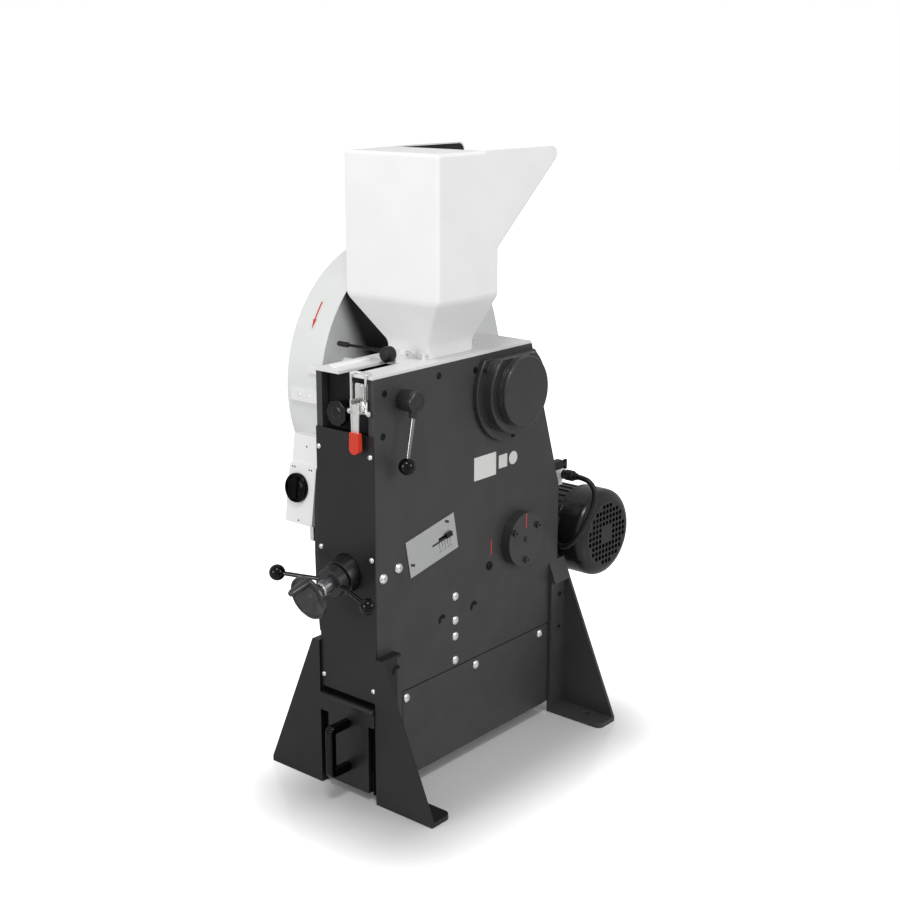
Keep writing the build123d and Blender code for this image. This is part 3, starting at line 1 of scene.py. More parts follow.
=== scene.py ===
# %% [markdown]
# # A floor-standing laboratory jaw crusher
# The engineering model is already built and packed. This lesson dresses it: rounded sheet-metal edges, turned and
# moulded controls, a ribbed motor, a hanging cable, and a finish for every surface. The model itself is never moved.

# %% Load the engineering model
import json
from math import atan2, cos, degrees, hypot, pi, radians, sin

import bmesh
import bpy
from mathutils import Matrix, Vector

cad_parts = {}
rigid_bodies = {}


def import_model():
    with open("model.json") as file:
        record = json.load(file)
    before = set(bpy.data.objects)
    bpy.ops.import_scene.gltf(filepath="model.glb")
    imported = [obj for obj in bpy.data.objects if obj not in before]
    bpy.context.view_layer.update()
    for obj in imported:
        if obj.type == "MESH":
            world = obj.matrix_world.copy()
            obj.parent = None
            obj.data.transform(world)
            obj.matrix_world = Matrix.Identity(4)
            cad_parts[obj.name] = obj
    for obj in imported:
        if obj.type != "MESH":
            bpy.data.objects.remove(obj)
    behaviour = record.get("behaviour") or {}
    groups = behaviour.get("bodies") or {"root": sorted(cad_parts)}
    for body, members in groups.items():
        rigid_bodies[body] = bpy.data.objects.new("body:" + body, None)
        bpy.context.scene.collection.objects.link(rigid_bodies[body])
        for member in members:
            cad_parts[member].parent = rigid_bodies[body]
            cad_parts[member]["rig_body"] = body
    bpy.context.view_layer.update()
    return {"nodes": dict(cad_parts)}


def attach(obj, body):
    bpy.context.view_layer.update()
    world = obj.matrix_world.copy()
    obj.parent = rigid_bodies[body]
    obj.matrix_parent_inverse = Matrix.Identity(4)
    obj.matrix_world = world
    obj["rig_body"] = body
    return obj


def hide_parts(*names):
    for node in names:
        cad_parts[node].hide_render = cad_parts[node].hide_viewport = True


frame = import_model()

# %% [markdown]
# ## Measures and small helpers
# The drawings are in millimetres and Blender works in metres, so one function turns a point. Every helper starts from
# object mode with nothing selected, because operators act on all that is selected.

# %% Points and selection
MM = 0.001
SIDE_X = 69                     # the right side plate's face, from the middle
COVER_Y = -281                  # the front cover's face
AXLE_Y, AXLE_Z = 88, 715        # axis of the flywheel and its bearings
MOTOR_Y, MOTOR_Z = 393, 356     # axis of the motor


def at(x, y, z):
    """A point given in millimetres."""
    return Vector((x, y, z)) * MM


def rest():
    """Object mode with nothing selected."""
    if bpy.context.object and bpy.context.object.mode != "OBJECT":
        bpy.ops.object.mode_set(mode="OBJECT")
    bpy.ops.object.select_all(action="DESELECT")


def only(piece):
    """Object mode with this piece alone selected and active."""
    rest()
    piece.select_set(True)
    bpy.context.view_layer.objects.active = piece


def settle(piece, name):
    """Names a piece and moves its place, turn and scale into its mesh."""
    only(piece)
    piece.name = piece.data.name = name
    bpy.ops.object.transform_apply(location=True, rotation=True, scale=True)
    return piece


def pick(piece, test=lambda item: True, kind="FACE"):
    """Edit mode with the faces, edges or points that pass the test selected, or all faces."""
    only(piece)
    bpy.ops.object.mode_set(mode="EDIT")
    bpy.ops.mesh.select_mode(type=kind)
    bpy.ops.mesh.select_all(action="DESELECT")
    mesh = bmesh.from_edit_mesh(piece.data)
    found = 0
    for item in {"FACE": mesh.faces, "EDGE": mesh.edges, "VERT": mesh.verts}[kind]:
        if test(item):
            item.select_set(True)
            found += 1
    bmesh.update_edit_mesh(piece.data)
    return found


def middle(edge):
    """Middle of an edge, in millimetres."""
    return (edge.verts[0].co + edge.verts[1].co) / 2 / MM


def along(edge, axis):
    """Whether an edge runs along X, Y or Z (0, 1 or 2)."""
    way = edge.verts[1].co - edge.verts[0].co
    return abs(way[axis]) > 0.98 * way.length


# %% [markdown]
# ### The steps that repeat
# Most shaping is one of a few steps: pull the selected faces out, slide them, or round what is selected. A piece is
# finished by a bevel on its sharp edges and by smooth shading between them.

# %% Shaping steps, edge finish and joining
def pull(x, y, z):
    """Extrudes the selected faces by millimetres."""
    bpy.ops.mesh.extrude_region_move(TRANSFORM_OT_translate={"value": (x * MM, y * MM, z * MM)})


def slide(x, y, z):
    """Moves what is selected by millimetres."""
    bpy.ops.transform.translate(value=(x * MM, y * MM, z * MM))


def round_off(width, segments, kind="EDGES", clamp=False):
    """Rounds what is selected by a width in millimetres."""
    bpy.ops.mesh.bevel(offset=width * MM, segments=segments, affect=kind, clamp_overlap=clamp)


def placed(name, data):
    """A new object in the scene that holds this data."""
    piece = bpy.data.objects.new(name, data)
    bpy.context.scene.collection.objects.link(piece)
    return piece


def modifier(piece, kind, **settings):
    """Adds a modifier with its settings and applies it."""
    only(piece)
    step = piece.modifiers.new(kind.lower(), kind)
    for key, value in settings.items():
        setattr(step, key, value)
    bpy.ops.object.modifier_apply(modifier=step.name)


def ease(piece, width, angle=32, segments=2):
    """Rounds the sharp edges by width in millimetres and shades the rest smooth."""
    if width:
        modifier(piece, "BEVEL", width=width * MM, segments=segments, limit_method="ANGLE",
                 angle_limit=radians(angle), use_clamp_overlap=True)
    only(piece)
    bpy.ops.object.shade_smooth_by_angle(angle=radians(angle + 8))
    modifier(piece, "WEIGHTED_NORMAL", keep_sharp=True, weight=70)
    return piece


def join(name, *pieces):
    """Joins pieces into the first one."""
    rest()
    for piece in pieces:
        piece.select_set(True)
    bpy.context.view_layer.objects.active = pieces[0]
    bpy.ops.object.join()
    return settle(pieces[0], name)


# %% [markdown]
# ## Starting shapes
# A block, a round bar between two points, a ball and a turned profile are enough to start every piece. Each is added
# with Blender's own operators at its place and size, and shaped afterwards.

# %% Block, bar, ball and turned profile
SIDES = 48


def block(name, low, high):
    """A block between two corners in millimetres."""
    rest()
    low, high = Vector(low), Vector(high)
    bpy.ops.mesh.primitive_cube_add(size=1, location=(low + high) / 2 * MM)
    bpy.context.object.scale = (high - low) * MM
    return settle(bpy.context.object, name)


def bar(name, start, end, r, r1=None, sides=SIDES):
    """A round bar or cone between two points in millimetres."""
    rest()
    start, end = Vector(start), Vector(end)
    way = end - start
    turn = way.to_track_quat("Z", "Y").to_euler()
    bpy.ops.mesh.primitive_cone_add(vertices=sides, radius1=r * MM, radius2=(r if r1 is None else r1) * MM,
                                    depth=way.length * MM, location=(start + end) / 2 * MM, rotation=turn)
    return settle(bpy.context.object, name)


def ball(name, centre, r):
    """A ball of evenly spread faces."""
    rest()
    bpy.ops.mesh.primitive_ico_sphere_add(subdivisions=4, radius=r * MM, location=Vector(centre) * MM)
    return settle(bpy.context.object, name)


def turned(name, profile, start, way, steps=SIDES):
    """A body of revolution: (distance along, radius) pairs in millimetres, spun round an axis."""
    rest()
    bpy.ops.mesh.primitive_plane_add(size=MM, location=(0, 0, 0))
    piece = bpy.context.object
    bpy.ops.object.mode_set(mode="EDIT")
    bpy.ops.mesh.delete(type="FACE")
    mesh = bmesh.from_edit_mesh(piece.data)
    for vert in list(mesh.verts):
        mesh.verts.remove(vert)
    verts = [mesh.verts.new((r * MM, 0, s * MM)) for s, r in profile]
    for one, two in zip(verts, verts[1:]):
        mesh.edges.new((one, two))
    bmesh.update_edit_mesh(piece.data)
    bpy.ops.mesh.select_all(action="SELECT")
    bpy.ops.mesh.spin(steps=steps, angle=2 * pi, center=(0, 0, 0), axis=(0, 0, 1))
    bpy.ops.mesh.select_all(action="SELECT")
    bpy.ops.mesh.remove_doubles(threshold=1e-6)
    bpy.ops.mesh.dissolve_degenerate(threshold=1e-7)
    bpy.ops.mesh.select_all(action="SELECT")
    bpy.ops.mesh.normals_make_consistent(inside=False)
    bpy.ops.object.mode_set(mode="OBJECT")
    piece.location = Vector(start) * MM
    piece.rotation_euler = Vector(way).to_track_quat("Z", "Y").to_euler()
    return settle(piece, name)


# %% [markdown]
# ## Finishes
# Each finish starts from what the real surface is. One function turns a sRGB hex colour to the linear values that
# shaders use, and one adds a node with its settings and links.

# %% Colour, node and material helpers
def linear(code, alpha=1.0):
    """A sRGB hex colour as linear numbers."""
    parts = [int(code[i:i + 2], 16) / 255 for i in (1, 3, 5)]
    return [p / 12.92 if p <= 0.04045 else ((p + 0.055) / 1.055) ** 2.4 for p in parts] + [alpha]


def add(tree, kind, inputs=(), **settings):
    """Adds a shader node; inputs maps a socket to a value or to another node's output."""
    node = tree.nodes.new("ShaderNode" + kind)
    for key, value in settings.items():
        setattr(node, key, value)
    for key, value in dict(inputs).items():
        if isinstance(value, bpy.types.NodeSocket):
            tree.links.new(value, node.inputs[key])
        else:
            node.inputs[key].default_value = value
    return node


def finish(name, **sockets):
    """A new material with a Principled shader; sockets set its plain values."""
    material = bpy.data.materials.new(name)
    material.use_nodes = True
    tree = material.node_tree
    shader = tree.nodes["Principled BSDF"]
    for key, value in sockets.items():
        shader.inputs[key.replace("_", " ")].default_value = value
    material.diffuse_color = shader.inputs["Base Color"].default_value
    return material, tree, shader


def grain(tree, per_mm, detail=2.0, stretch=(1, 1, 1)):
    """Noise over the object's own coordinates, so many cells to the millimetre, as a 0 to 1 value."""
    place = add(tree, "TexCoord").outputs["Object"]
    if stretch != (1, 1, 1):
        place = add(tree, "Mapping", {"Vector": place, "Scale": stretch}).outputs["Vector"]
    return add(tree, "TexNoise", {"Vector": place, "Scale": per_mm / MM, "Detail": detail}).outputs["Fac"]


def spread(tree, value, low, high, start=0.3, end=0.7):
    """Maps a noise value to a range."""
    return add(tree, "MapRange", {"Value": value, "From Min": start, "From Max": end, "To Min": low,
                                  "To Max": high}).outputs["Result"]


def bump(tree, shader, height, depth_mm, strength=1.0):
    """Feeds a height in millimetres into the shader's normal."""
    node = add(tree, "Bump", {"Height": height, "Distance": depth_mm * MM, "Strength": strength})
    tree.links.new(node.outputs["Normal"], shader.inputs["Normal"])


def tint(tree, shader, value, dark, light):
    """Colours a surface between two hex colours by a value."""
    mix = add(tree, "Mix", data_type="RGBA")
    tree.links.new(value, mix.inputs[0])
    mix.inputs[6].default_value, mix.inputs[7].default_value = linear(dark), linear(light)
    tree.links.new(mix.outputs[2], shader.inputs["Base Color"])


# %% [markdown]
# ### Powder coat, enamel and sheet-metal paint
# The body is black powder coat: baked powder flows out to a faint orange peel of about a millimetre and a half,
# which breaks up a reflection without showing as a texture. The hopper and the guard have the same skin in white and
# light grey.

# %% Coated sheet metal
def coated(name, dark, light, roughness, peel=1.5, depth=0.012, ior=1.5):
    """Baked powder coat over steel sheet, with orange peel of a given size in millimetres."""
    material, tree, shader = finish(name, Base_Color=linear(light), IOR=ior)
    tint(tree, shader, spread(tree, grain(tree, 0.012), 0.0, 1.0), dark, light)
    tree.links.new(spread(tree, grain(tree, 0.03, 3.0), roughness - 0.05, roughness + 0.05),
                   shader.inputs["Roughness"])
    bump(tree, shader, grain(tree, 1 / peel, 1.0), depth)
    return material


black_coat = coated("black_powder_coat", "#353536", "#3a3a3b", 0.46)
cast_coat = coated("black_coat_on_casting", "#2f2f30", "#353536", 0.29, 4.0, 0.015)
motor_coat = coated("black_motor_enamel", "#141415", "#19191a", 0.25, 2.5, 0.012)
white_coat = coated("white_powder_coat", "#eeeeee", "#f2f2f2", 0.40, 2.0, 0.008)
# the white coat, a little darker, for the top plate whose face looks up: painted shade
top_plate_shaded_white = coated("white_coat_on_top_plate", "#dcdcdc", "#e1e1e1", 0.42, 2.0, 0.008)
grey_coat = coated("light_grey_powder_coat", "#dbdcdc", "#e0e1e1", 0.45, 2.0, 0.008)
bright_coat = coated("pale_grey_powder_coat", "#e6e7e7", "#ebebeb", 0.42, 2.0, 0.008)
# the body's black coat again, darker, for the faces that look forward: painted shade, so that the front stays darker
# than the long side
front_shaded_coat = coated("black_powder_coat_smooth", "#171718", "#1c1c1d", 0.40, ior=1.42)
# near black for the recess panel and the drawer box, and the colour of the painted shadow crescents on the bores
recess_and_shadow_black = coated("black_primer", "#080809", "#0d0d0e", 0.60, ior=1.3)
black_casting = coated("oiled_black_casting", "#202021", "#28282a", 0.32, 3.0, 0.02)
# flat black for the strips of painted shadow in the gaps round the drawer
gap_shadow_black = coated("flat_black_paint", "#020202", "#030303", 0.7, ior=1.12)
print("coats:", len(bpy.data.materials), "materials so far")

# %% [markdown]
# ### Metals
# Turned steel shows fine rings, zinc-plated pressings are bright with a soft bloom, castings are rough, and the scale
# plate is anodised aluminium with a brushed grain along its length.

# %% Bare and plated metals
def metal(name, colour, roughness, spread_by=0.06, per_mm=0.15, stretch=(1, 1, 1), depth=0.003):
    """Bare or plated metal whose polish varies a little."""
    material, tree, shader = finish(name, Base_Color=linear(colour), Metallic=1.0)
    mark = grain(tree, per_mm, 3.0, stretch)
    tree.links.new(spread(tree, mark, roughness - spread_by, roughness + spread_by), shader.inputs["Roughness"])
    bump(tree, shader, mark, depth)
    return material


bright_zinc = metal("bright_zinc_screw", "#f2f2f1", 0.34, 0.05, 0.2)
chrome = metal("chromed_steel", "#d9dadb", 0.12, 0.04)
zinc = metal("zinc_plated_steel", "#efefee", 0.30, 0.08, 0.08)
turned_steel = metal("turned_steel", "#f2f2f2", 0.38, 0.06, 1.0, (1, 4, 4))
lever_steel = metal("ground_lever_steel", "#9b9c9d", 0.2, 0.04, 0.2, depth=0.0005)
machined_steel = metal("machined_steel", "#8d8e90", 0.38, 0.08, 0.6)
cast_iron = metal("cast_iron", "#5a5a5b", 0.62, 0.1, 0.4)
crusher_steel = metal("manganese_steel", "#6c6a67", 0.55, 0.12, 0.25)
anodised = metal("anodised_aluminium", "#cfd0d0", 0.42, 0.05, 1.2, (1, 0.05, 1))
dark_screw = metal("blackened_steel", "#2c2c2d", 0.40, 0.08, 0.5)
black_rod = metal("oil_blackened_rod", "#3c3c3e", 0.22, 0.05, 0.5)
dark_steel = metal("phosphated_steel", "#525254", 0.40, 0.06, 0.3)
metals = [m for m in bpy.data.materials if m.node_tree.nodes["Principled BSDF"].inputs["Metallic"].default_value]
print("metals:", len(metals))

# %% [markdown]
# ### Plastics and rubber
# Ball knobs and handles are bakelite and polyamide, moulded glossy. The switch is matt ABS, the clamp's grip is dipped
# red vinyl, the cable's jacket is black rubber.

# %% Plastics and rubber
def moulded(name, colour, roughness, coat=0.0, per_mm=0.5, depth=0.01, ior=1.5):
    """Moulded plastic or rubber with a faint texture of its own."""
    material, tree, shader = finish(name, Base_Color=linear(colour), IOR=ior, Coat_Weight=coat,
                                    Coat_Roughness=0.05)
    mark = grain(tree, per_mm, 2.0)
    tree.links.new(spread(tree, mark, roughness - 0.03, roughness + 0.05), shader.inputs["Roughness"])
    bump(tree, shader, mark, depth)
    return material


switch_black = moulded("gloss_black_polyamide", "#030303", 0.14, 0.0, 0.2, 0.002, 1.2)
bakelite = moulded("bakelite", "#040405", 0.09, 0.0, 0.1, 0.002, 1.33)
black_abs = moulded("black_abs", "#0d0d0e", 0.24, 0.0, 0.5, 0.006, 1.42)
wheel_plastic = moulded("polished_black_polyamide", "#2c2c2d", 0.20, 0.0, 0.5, 0.003, 1.58)
matt_black = moulded("matt_black_plastic", "#101011", 0.48, 0.0, 2.0, 0.02, 1.42)
red_vinyl = moulded("dipped_red_vinyl", "#cf3a26", 0.30, 0.0, 0.3, 0.01, 1.42)
rubber = moulded("black_rubber", "#0e0e0e", 0.42, 0.0, 1.0, 0.02, 1.45)
white_nylon = moulded("white_nylon", "#f4f4f2", 0.40, 0.0, 0.5, 0.01)
label_film = moulded("printed_label_film", "#dcdcd9", 0.35, 0.1, 0.2, 0.002)
red_paint = moulded("red_marking_paint", "#c23a32", 0.45, 0.0, 1.0, 0.01)
print("coats, metals and plastics:", len(bpy.data.materials), "materials")


def dress(piece, material, body, slot, *nodes):
    """Gives a piece its finish, the body it rides on and the nodes it stands for."""
    piece.data.materials.clear()
    piece.data.materials.append(material)
    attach(piece, body)
    if nodes:
        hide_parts(*nodes)
    return piece


# %% [markdown]
# ## Nodes that keep their shape
# Inner parts and pieces whose engineering shape is already right only get a finish.

# %% Finishes on the engineering nodes
def paint(material, *nodes):
    """A new finish on nodes that stay as they are."""
    for name in nodes:
        node = frame["nodes"][name]
        node.data.materials.clear()
        node.data.materials.append(material)


paint(machined_steel, "rails", "toggle_seat", "toggle_plate", "arm_pivot_pin", "eccentric_shaft",
      "spindle_nut", "spindle")
paint(zinc, "latch_pin")
paint(crusher_steel, "chamber_walls", "arm_jaw_plate", "swing_jaw_plate")
paint(cast_iron, "jaw_arm", "swing_jaw", "flywheel", "motor_pulley")
paint(rubber, "v_belts")
paint(matt_black, "motor_shaft")
paint(recess_and_shadow_black, "drawer_box")
print("painted", sum(1 for node in frame["nodes"].values() if node.data.materials), "nodes")

# %% [markdown]
# ## Plates and castings with eased edges
# A laser-cut plate or a casting never has a knife edge: paint rolls over it and catches the light as a thin line.
# Each of these nodes is copied, its triangles are merged back into flat faces, and its sharp edges are rounded.

# %% Copies with eased edges
def merged_copy(node):
    """A copy of a node whose loose triangles are merged back into flat faces."""
    piece = placed(node + "_finished", frame["nodes"][node].data.copy())
    pick(piece)
    bpy.ops.mesh.remove_doubles(threshold=2e-6)
    bpy.ops.mesh.dissolve_limited(angle_limit=radians(0.4))
    bpy.ops.object.mode_set(mode="OBJECT")
    return piece


def eased_copy(node, material, width, slot, segments=2, angle=32):
    """A copy of a node with rounded edges that stands for it."""
    piece = ease(merged_copy(node), width, angle, segments)
    return dress(piece, material, frame["nodes"][node]["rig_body"], slot, node)


PLATES = (
    ("right_side_plate", black_coat, 0.8, "body_paint"), ("left_side_plate", black_coat, 0.8, "body_paint"),
    ("lower_side_covers", black_coat, 0.8, "body_paint"), ("front_cover", front_shaded_coat, 0.6, "body_paint"),
    ("recess_panel", recess_and_shadow_black, 0.5, "matt_plastic"), ("rear_cover", black_coat, 0.6, "body_paint"),
    ("top_plate", top_plate_shaded_white, 0.8, "white_paint"), ("left_hood", motor_coat, 0.8, "body_paint"),
    ("front_feet", front_shaded_coat, 1.2, "body_paint"), ("rear_feet", black_coat, 1.2, "body_paint"),
    ("zero_disc", cast_coat, 1.2, "body_paint"), ("spindle_block", dark_steel, 1.2, "body_paint"),
    ("motor_mount", cast_coat, 1.0, "body_paint"),
    ("guard_brackets", bright_coat, 0.5, "grey_paint"), ("flywheel_guard", grey_coat, 1.5, "grey_paint"),
    ("hopper_hinge", zinc, 0.5, "white_paint"), ("scale_plate", anodised, 0.25, "anodised"),
    ("drawer_front", front_shaded_coat, 1.0, "body_paint"), ("cable_socket", white_nylon, 0.5, "white_paint"),
    ("wing_screw", black_abs, 0.8, "bright_steel"),
    ("switch_box", bright_coat, 1.5, "grey_paint"), ("gap_pointer", matt_black, 0.5, "matt_plastic"),
    ("clamp_base", zinc, 0.4, "zinc"), ("clamp_bail", zinc, 0.0, "zinc"))
finished = {entry[0]: eased_copy(*entry) for entry in PLATES}
print("eased", len(finished), "nodes;", sum(len(piece.data.polygons) for piece in finished.values()), "faces")

# %% [markdown]
# Two of these copies are worked a little further. The bail is 5 mm wire once it is plated, so its skin is pushed out
# evenly. The boss that holds the wing screw is a low black casting on the rear cover, so its lower side is raised and
# its faces get a second finish.

# %% Bail wire and wing screw boss
pick(finished["clamp_bail"])
bpy.ops.transform.shrink_fatten(value=0.6 * MM)
rear = finished["rear_cover"]
moved = pick(rear, lambda v: 0.0415 < v.co.x < 0.0625 and 0.504 < v.co.z < 0.507, "VERT")
slide(0, 0, 6.5)
pick(rear, lambda v: 0.0605 < v.co.x < 0.0625 and 0.508 < v.co.z < 0.53, "VERT")
slide(-4, 0, 0)
bpy.ops.object.mode_set(mode="OBJECT")
rear.data.materials.append(matt_black)
boss_faces = [f for f in rear.data.polygons if 0.0415 < f.center.x < 0.0625 and 0.5 < f.center.z < 0.5295]
for face in boss_faces:
    face.material_index = 1
print("raised", moved, "points of the boss,", len(boss_faces), "black faces")

# %% [markdown]
# ## Guard cheek and turning arrow
# The guard's inner cheek lies in the shade beside the hopper. The studio's lamps leave it too light, so shade is
# painted into its coat: a soft band of the cheek fades to black, but only where another piece stands close over it.
# With the hopper tilted away most of the painted shade is grey again, and a mottled dark patch stays close beside the
# hopper. A real guard is grey there all over. A red arrow on white film shows which way the wheel turns: each film is a
# flat grid, given its thickness and then wrapped on the guard's rim.

# %% Shaded cheek
SLANT_WAY = (0, 0.885, 0.466)                       # the way in which the shade deepens over the cheek
LOWER_FADE, UPPER_FADE = (284, 326), (487, 430)     # from grey to black along that way, and from grey again, in mm
CHEEK_X = (-162, -161)                              # keeps the shade on the inner cheek, in mm
NEAR_REACH, LEAST_OPEN, FULLY_SHUT = 0.2, 0.56, 0.4     # metres, and shares of open sky


def band(tree, value, start, end):
    """A soft step from 0 to 1 between two values in millimetres."""
    return add(tree, "MapRange", {"Value": value, "From Min": start * MM, "From Max": end * MM},
               interpolation_type="SMOOTHSTEP").outputs["Result"]


tree = grey_coat.node_tree
shader = tree.nodes["Principled BSDF"]
place = add(tree, "TexCoord").outputs["Object"]
slant = add(tree, "VectorMath", {0: place, 1: SLANT_WAY}, operation="DOT_PRODUCT").outputs["Value"]
open_to_light = add(tree, "AmbientOcclusion", {"Distance": NEAR_REACH}, samples=16).outputs["AO"]
near = add(tree, "MapRange", {"Value": open_to_light, "From Min": LEAST_OPEN, "From Max": FULLY_SHUT},
           interpolation_type="SMOOTHSTEP").outputs["Result"]
painted_shade_mask = add(tree, "Math", {0: band(tree, slant, *LOWER_FADE), 1: band(tree, slant, *UPPER_FADE)}, operation="MULTIPLY")
for part in (band(tree, add(tree, "SeparateXYZ", {0: place}).outputs["X"], *CHEEK_X), near):
    painted_shade_mask = add(tree, "Math", {0: painted_shade_mask.outputs[0], 1: part}, operation="MULTIPLY")
# painted shade: the coat's own colour is mixed towards near black by the mask
coat_colour = shader.inputs["Base Color"].links[0].from_socket
dark = add(tree, "Mix", {0: painted_shade_mask.outputs[0], 6: coat_colour, 7: linear("#060607")}, data_type="RGBA")
tree.links.new(dark.outputs[2], shader.inputs["Base Color"])
print("cheek shade:", len(tree.nodes), "nodes in the coat")

# %% Arrow films
GUARD_R = 265


def rim_film(name, x0, x1, a0, a1, low, high, tip=1.0):
    """A film wrapped on the guard's rim between two angles in degrees, narrowed towards its end."""
    rest()
    bpy.ops.mesh.primitive_grid_add(x_subdivisions=2, y_subdivisions=20, size=1)
    film = bpy.context.object
    pick(film)
    bpy.ops.mesh.extrude_region_move(TRANSFORM_OT_translate={"value": (0, 0, high - low)})
    bpy.ops.object.mode_set(mode="OBJECT")
    for vert in film.data.vertices:
        part, angle = vert.co.y + 0.5, radians(a0 + (vert.co.y + 0.5) * (a1 - a0))
        x = (x0 + x1) / 2 + vert.co.x * (x1 - x0) * (1 + (tip - 1) * part)
        r = GUARD_R + low + vert.co.z
        vert.co = at(x, AXLE_Y + r * cos(angle), AXLE_Z + r * sin(angle))
    pick(film)
    bpy.ops.mesh.normals_make_consistent(inside=False)
    return settle(film, name)


dress(rim_film("arrow_film", -210.5, -199.5, 141.4, 155.4, 0.02, 0.3), label_film, "frame", "white_paint")
arrow = join("turning_arrow", rim_film("shaft", -206.8, -203.2, 142.6, 150.6, 0.3, 0.5),
             rim_film("head", -209.3, -200.7, 150.4, 154.6, 0.3, 0.5, 0.05))
dress(arrow, red_paint, "frame", "red_plastic")
print("arrow:", [round(v / MM) for v in arrow.dimensions], "mm")

# %% [markdown]
# ## Bearing housings
# The housings are castings turned in three steps. A turned edge is rounded much wider than a plate's, and each round
# shows as a thin bright ring, so the rings are found by their radius and bevelled one by one.

# %% Turned edges of the housings
def on_ring(edge, r, x, slack=0.6):
    """Whether an edge lies on a ring of radius r about the axle, at x on either side."""
    return all(abs(hypot(v.co.y / MM - AXLE_Y, v.co.z / MM - AXLE_Z) - r) < slack
               and abs(abs(v.co.x) / MM - x) < slack for v in edge.verts)


housings = merged_copy("bearing_housings")
for r, x, width in ((67, 118, 4.5), (84, 100, 2.5), (100, 79, 2.0)):
    print("ring of", r, "mm:", pick(housings, lambda e: on_ring(e, r, x), "EDGE"), "edges")
    round_off(width, 3, clamp=True)
dress(ease(housings, 0.6, 40, 1), cast_coat, "frame", "body_paint", "bearing_housings")

# %% [markdown]
# ## Hopper
# The hopper is folded from 2 mm sheet, so its upright corners are rounded while its rim is thin. It is modelled as one
# closed form, opened at the top and the neck, rounded on its folds and only then given its thickness.

# %% Folded hopper
HOP_X0, HOP_X1, HOP_Y0, HOP_Y1 = -122.0, 102.0, -147.0, 20.5
NECK = (-61.0, 41.0, -103.0, 23.0)
NECK_Z0, NECK_Z1, BOX_Z, CHUTE_Z, HOP_TOP = 795.3, 817.0, 903.0, 987.0, 1160.0
TIP_Y, TIP_Z, LID_Y = 190.0, 1134.0, -22.0
SHEET, FOLD, FREE_CORNER = 2.0, 7.0, 14


def folded_hopper():
    """The hopper's sheet, from a block whose lower face is drawn down to the neck."""
    piece = block("hopper_sheet", (HOP_X0, HOP_Y0, BOX_Z), (HOP_X1, HOP_Y1, CHUTE_Z))
    pick(piece, lambda f: f.normal.z > 0.9)                     # straight up to the top
    pull(0, 0, HOP_TOP - CHUTE_Z)
    pick(piece, lambda f: f.normal.y > 0.9 and f.calc_center_median().z > CHUTE_Z * MM)
    pull(0, TIP_Y - HOP_Y1, 0)
    pick(piece, lambda v: v.co.y > (TIP_Y - 1) * MM and v.co.z < (HOP_TOP - 1) * MM, "VERT")
    slide(0, 0, TIP_Z - CHUTE_Z)
    pick(piece, lambda f: f.normal.z < -0.9 and f.calc_center_median().z < (BOX_Z + 1) * MM)
    pull(0, 0, NECK_Z1 - BOX_Z)
    bpy.ops.transform.resize(value=((NECK[1] - NECK[0]) / (HOP_X1 - HOP_X0),
                                    (NECK[3] - NECK[2]) / (HOP_Y1 - HOP_Y0), 1))
    slide((NECK[0] + NECK[1] - HOP_X0 - HOP_X1) / 2, (NECK[2] + NECK[3] - HOP_Y0 - HOP_Y1) / 2, 0)
    pull(0, 0, NECK_Z0 - NECK_Z1)
    bpy.ops.mesh.delete(type="FACE")                            # open below
    pick(piece)
    bpy.ops.mesh.bisect(plane_co=(0, LID_Y * MM, 0), plane_no=(0, 1, 0))
    pick(piece, lambda f: f.normal.z > 0.9 and f.calc_center_median().y > LID_Y * MM)
    bpy.ops.mesh.delete(type="FACE")                            # open above, behind the lid
    pick(piece, lambda f: f.normal.y > 0.9 and f.calc_center_median().y > (TIP_Y - 1) * MM)
    bpy.ops.mesh.delete(type="FACE")                            # open at the chute's end
    # upright corners, the corners of the taper, the lid's folds and the folds round the box
    pick(piece, lambda e: len(e.link_faces) == 2 and e.calc_face_angle(0) > radians(12), "EDGE")
    round_off(FOLD, 5, clamp=True)
    pick(piece, lambda v: v.co.y > (TIP_Y - 1) * MM and v.co.z > (HOP_TOP - 1) * MM, "VERT")
    round_off(FREE_CORNER, 6, "VERTICES")                       # the cheeks' free corners
    pick(piece)
    bpy.ops.mesh.remove_doubles(threshold=1e-6)
    modifier(piece, "SOLIDIFY", thickness=SHEET * MM, offset=-1, use_even_offset=True)
    return piece


hopper = ease(folded_hopper(), 0, 30)
print("hopper:", len(hopper.data.polygons), "faces, mm", [round(v / MM) for v in hopper.dimensions])
dress(hopper, white_coat, "hopper_body", "white_paint", "hopper")

# %% [markdown]
# The hopper turns on a hinge whose barrel lies behind its neck. A rubber lining quietens it, and the lining's free
# corners are rounded like the hopper's own.

# %% Hinge barrel and lining
HINGE_Y, HINGE_Z = 36.0, 803.0
barrel = bar("hinge_barrel", (-35, HINGE_Y, HINGE_Z), (15, HINGE_Y, HINGE_Z), 7)
leaf = block("hinge_leaf", (-35, 22.8, HINGE_Z - 4), (15, HINGE_Y, HINGE_Z + 4))
knuckle = join("hinge_barrel", ease(barrel, 0.6), ease(leaf, 0.6))
dress(knuckle, zinc, "hopper_body", "bright_steel")
lining = merged_copy("hopper_liner")
pick(lining, lambda e: along(e, 0) and middle(e).y > 185 and middle(e).z > 1156, "EDGE")
round_off(FREE_CORNER, 6)
dress(ease(lining, 0, 40), rubber, "hopper_body", "rubber", "hopper_liner")
print("lining:", [round(v / MM) for v in lining.dimensions], "mm")

# %% [markdown]
# ## Toggle clamp
# The clamp that holds the hopper down is stamped from zinc-plated strip: a foot with turned-up ears, a wire bail and a
# channel-shaped lever dipped in red vinyl. The lever is a block tapered towards the grip, whose face is inset and
# pushed in so that it becomes a channel with two thin flanges.

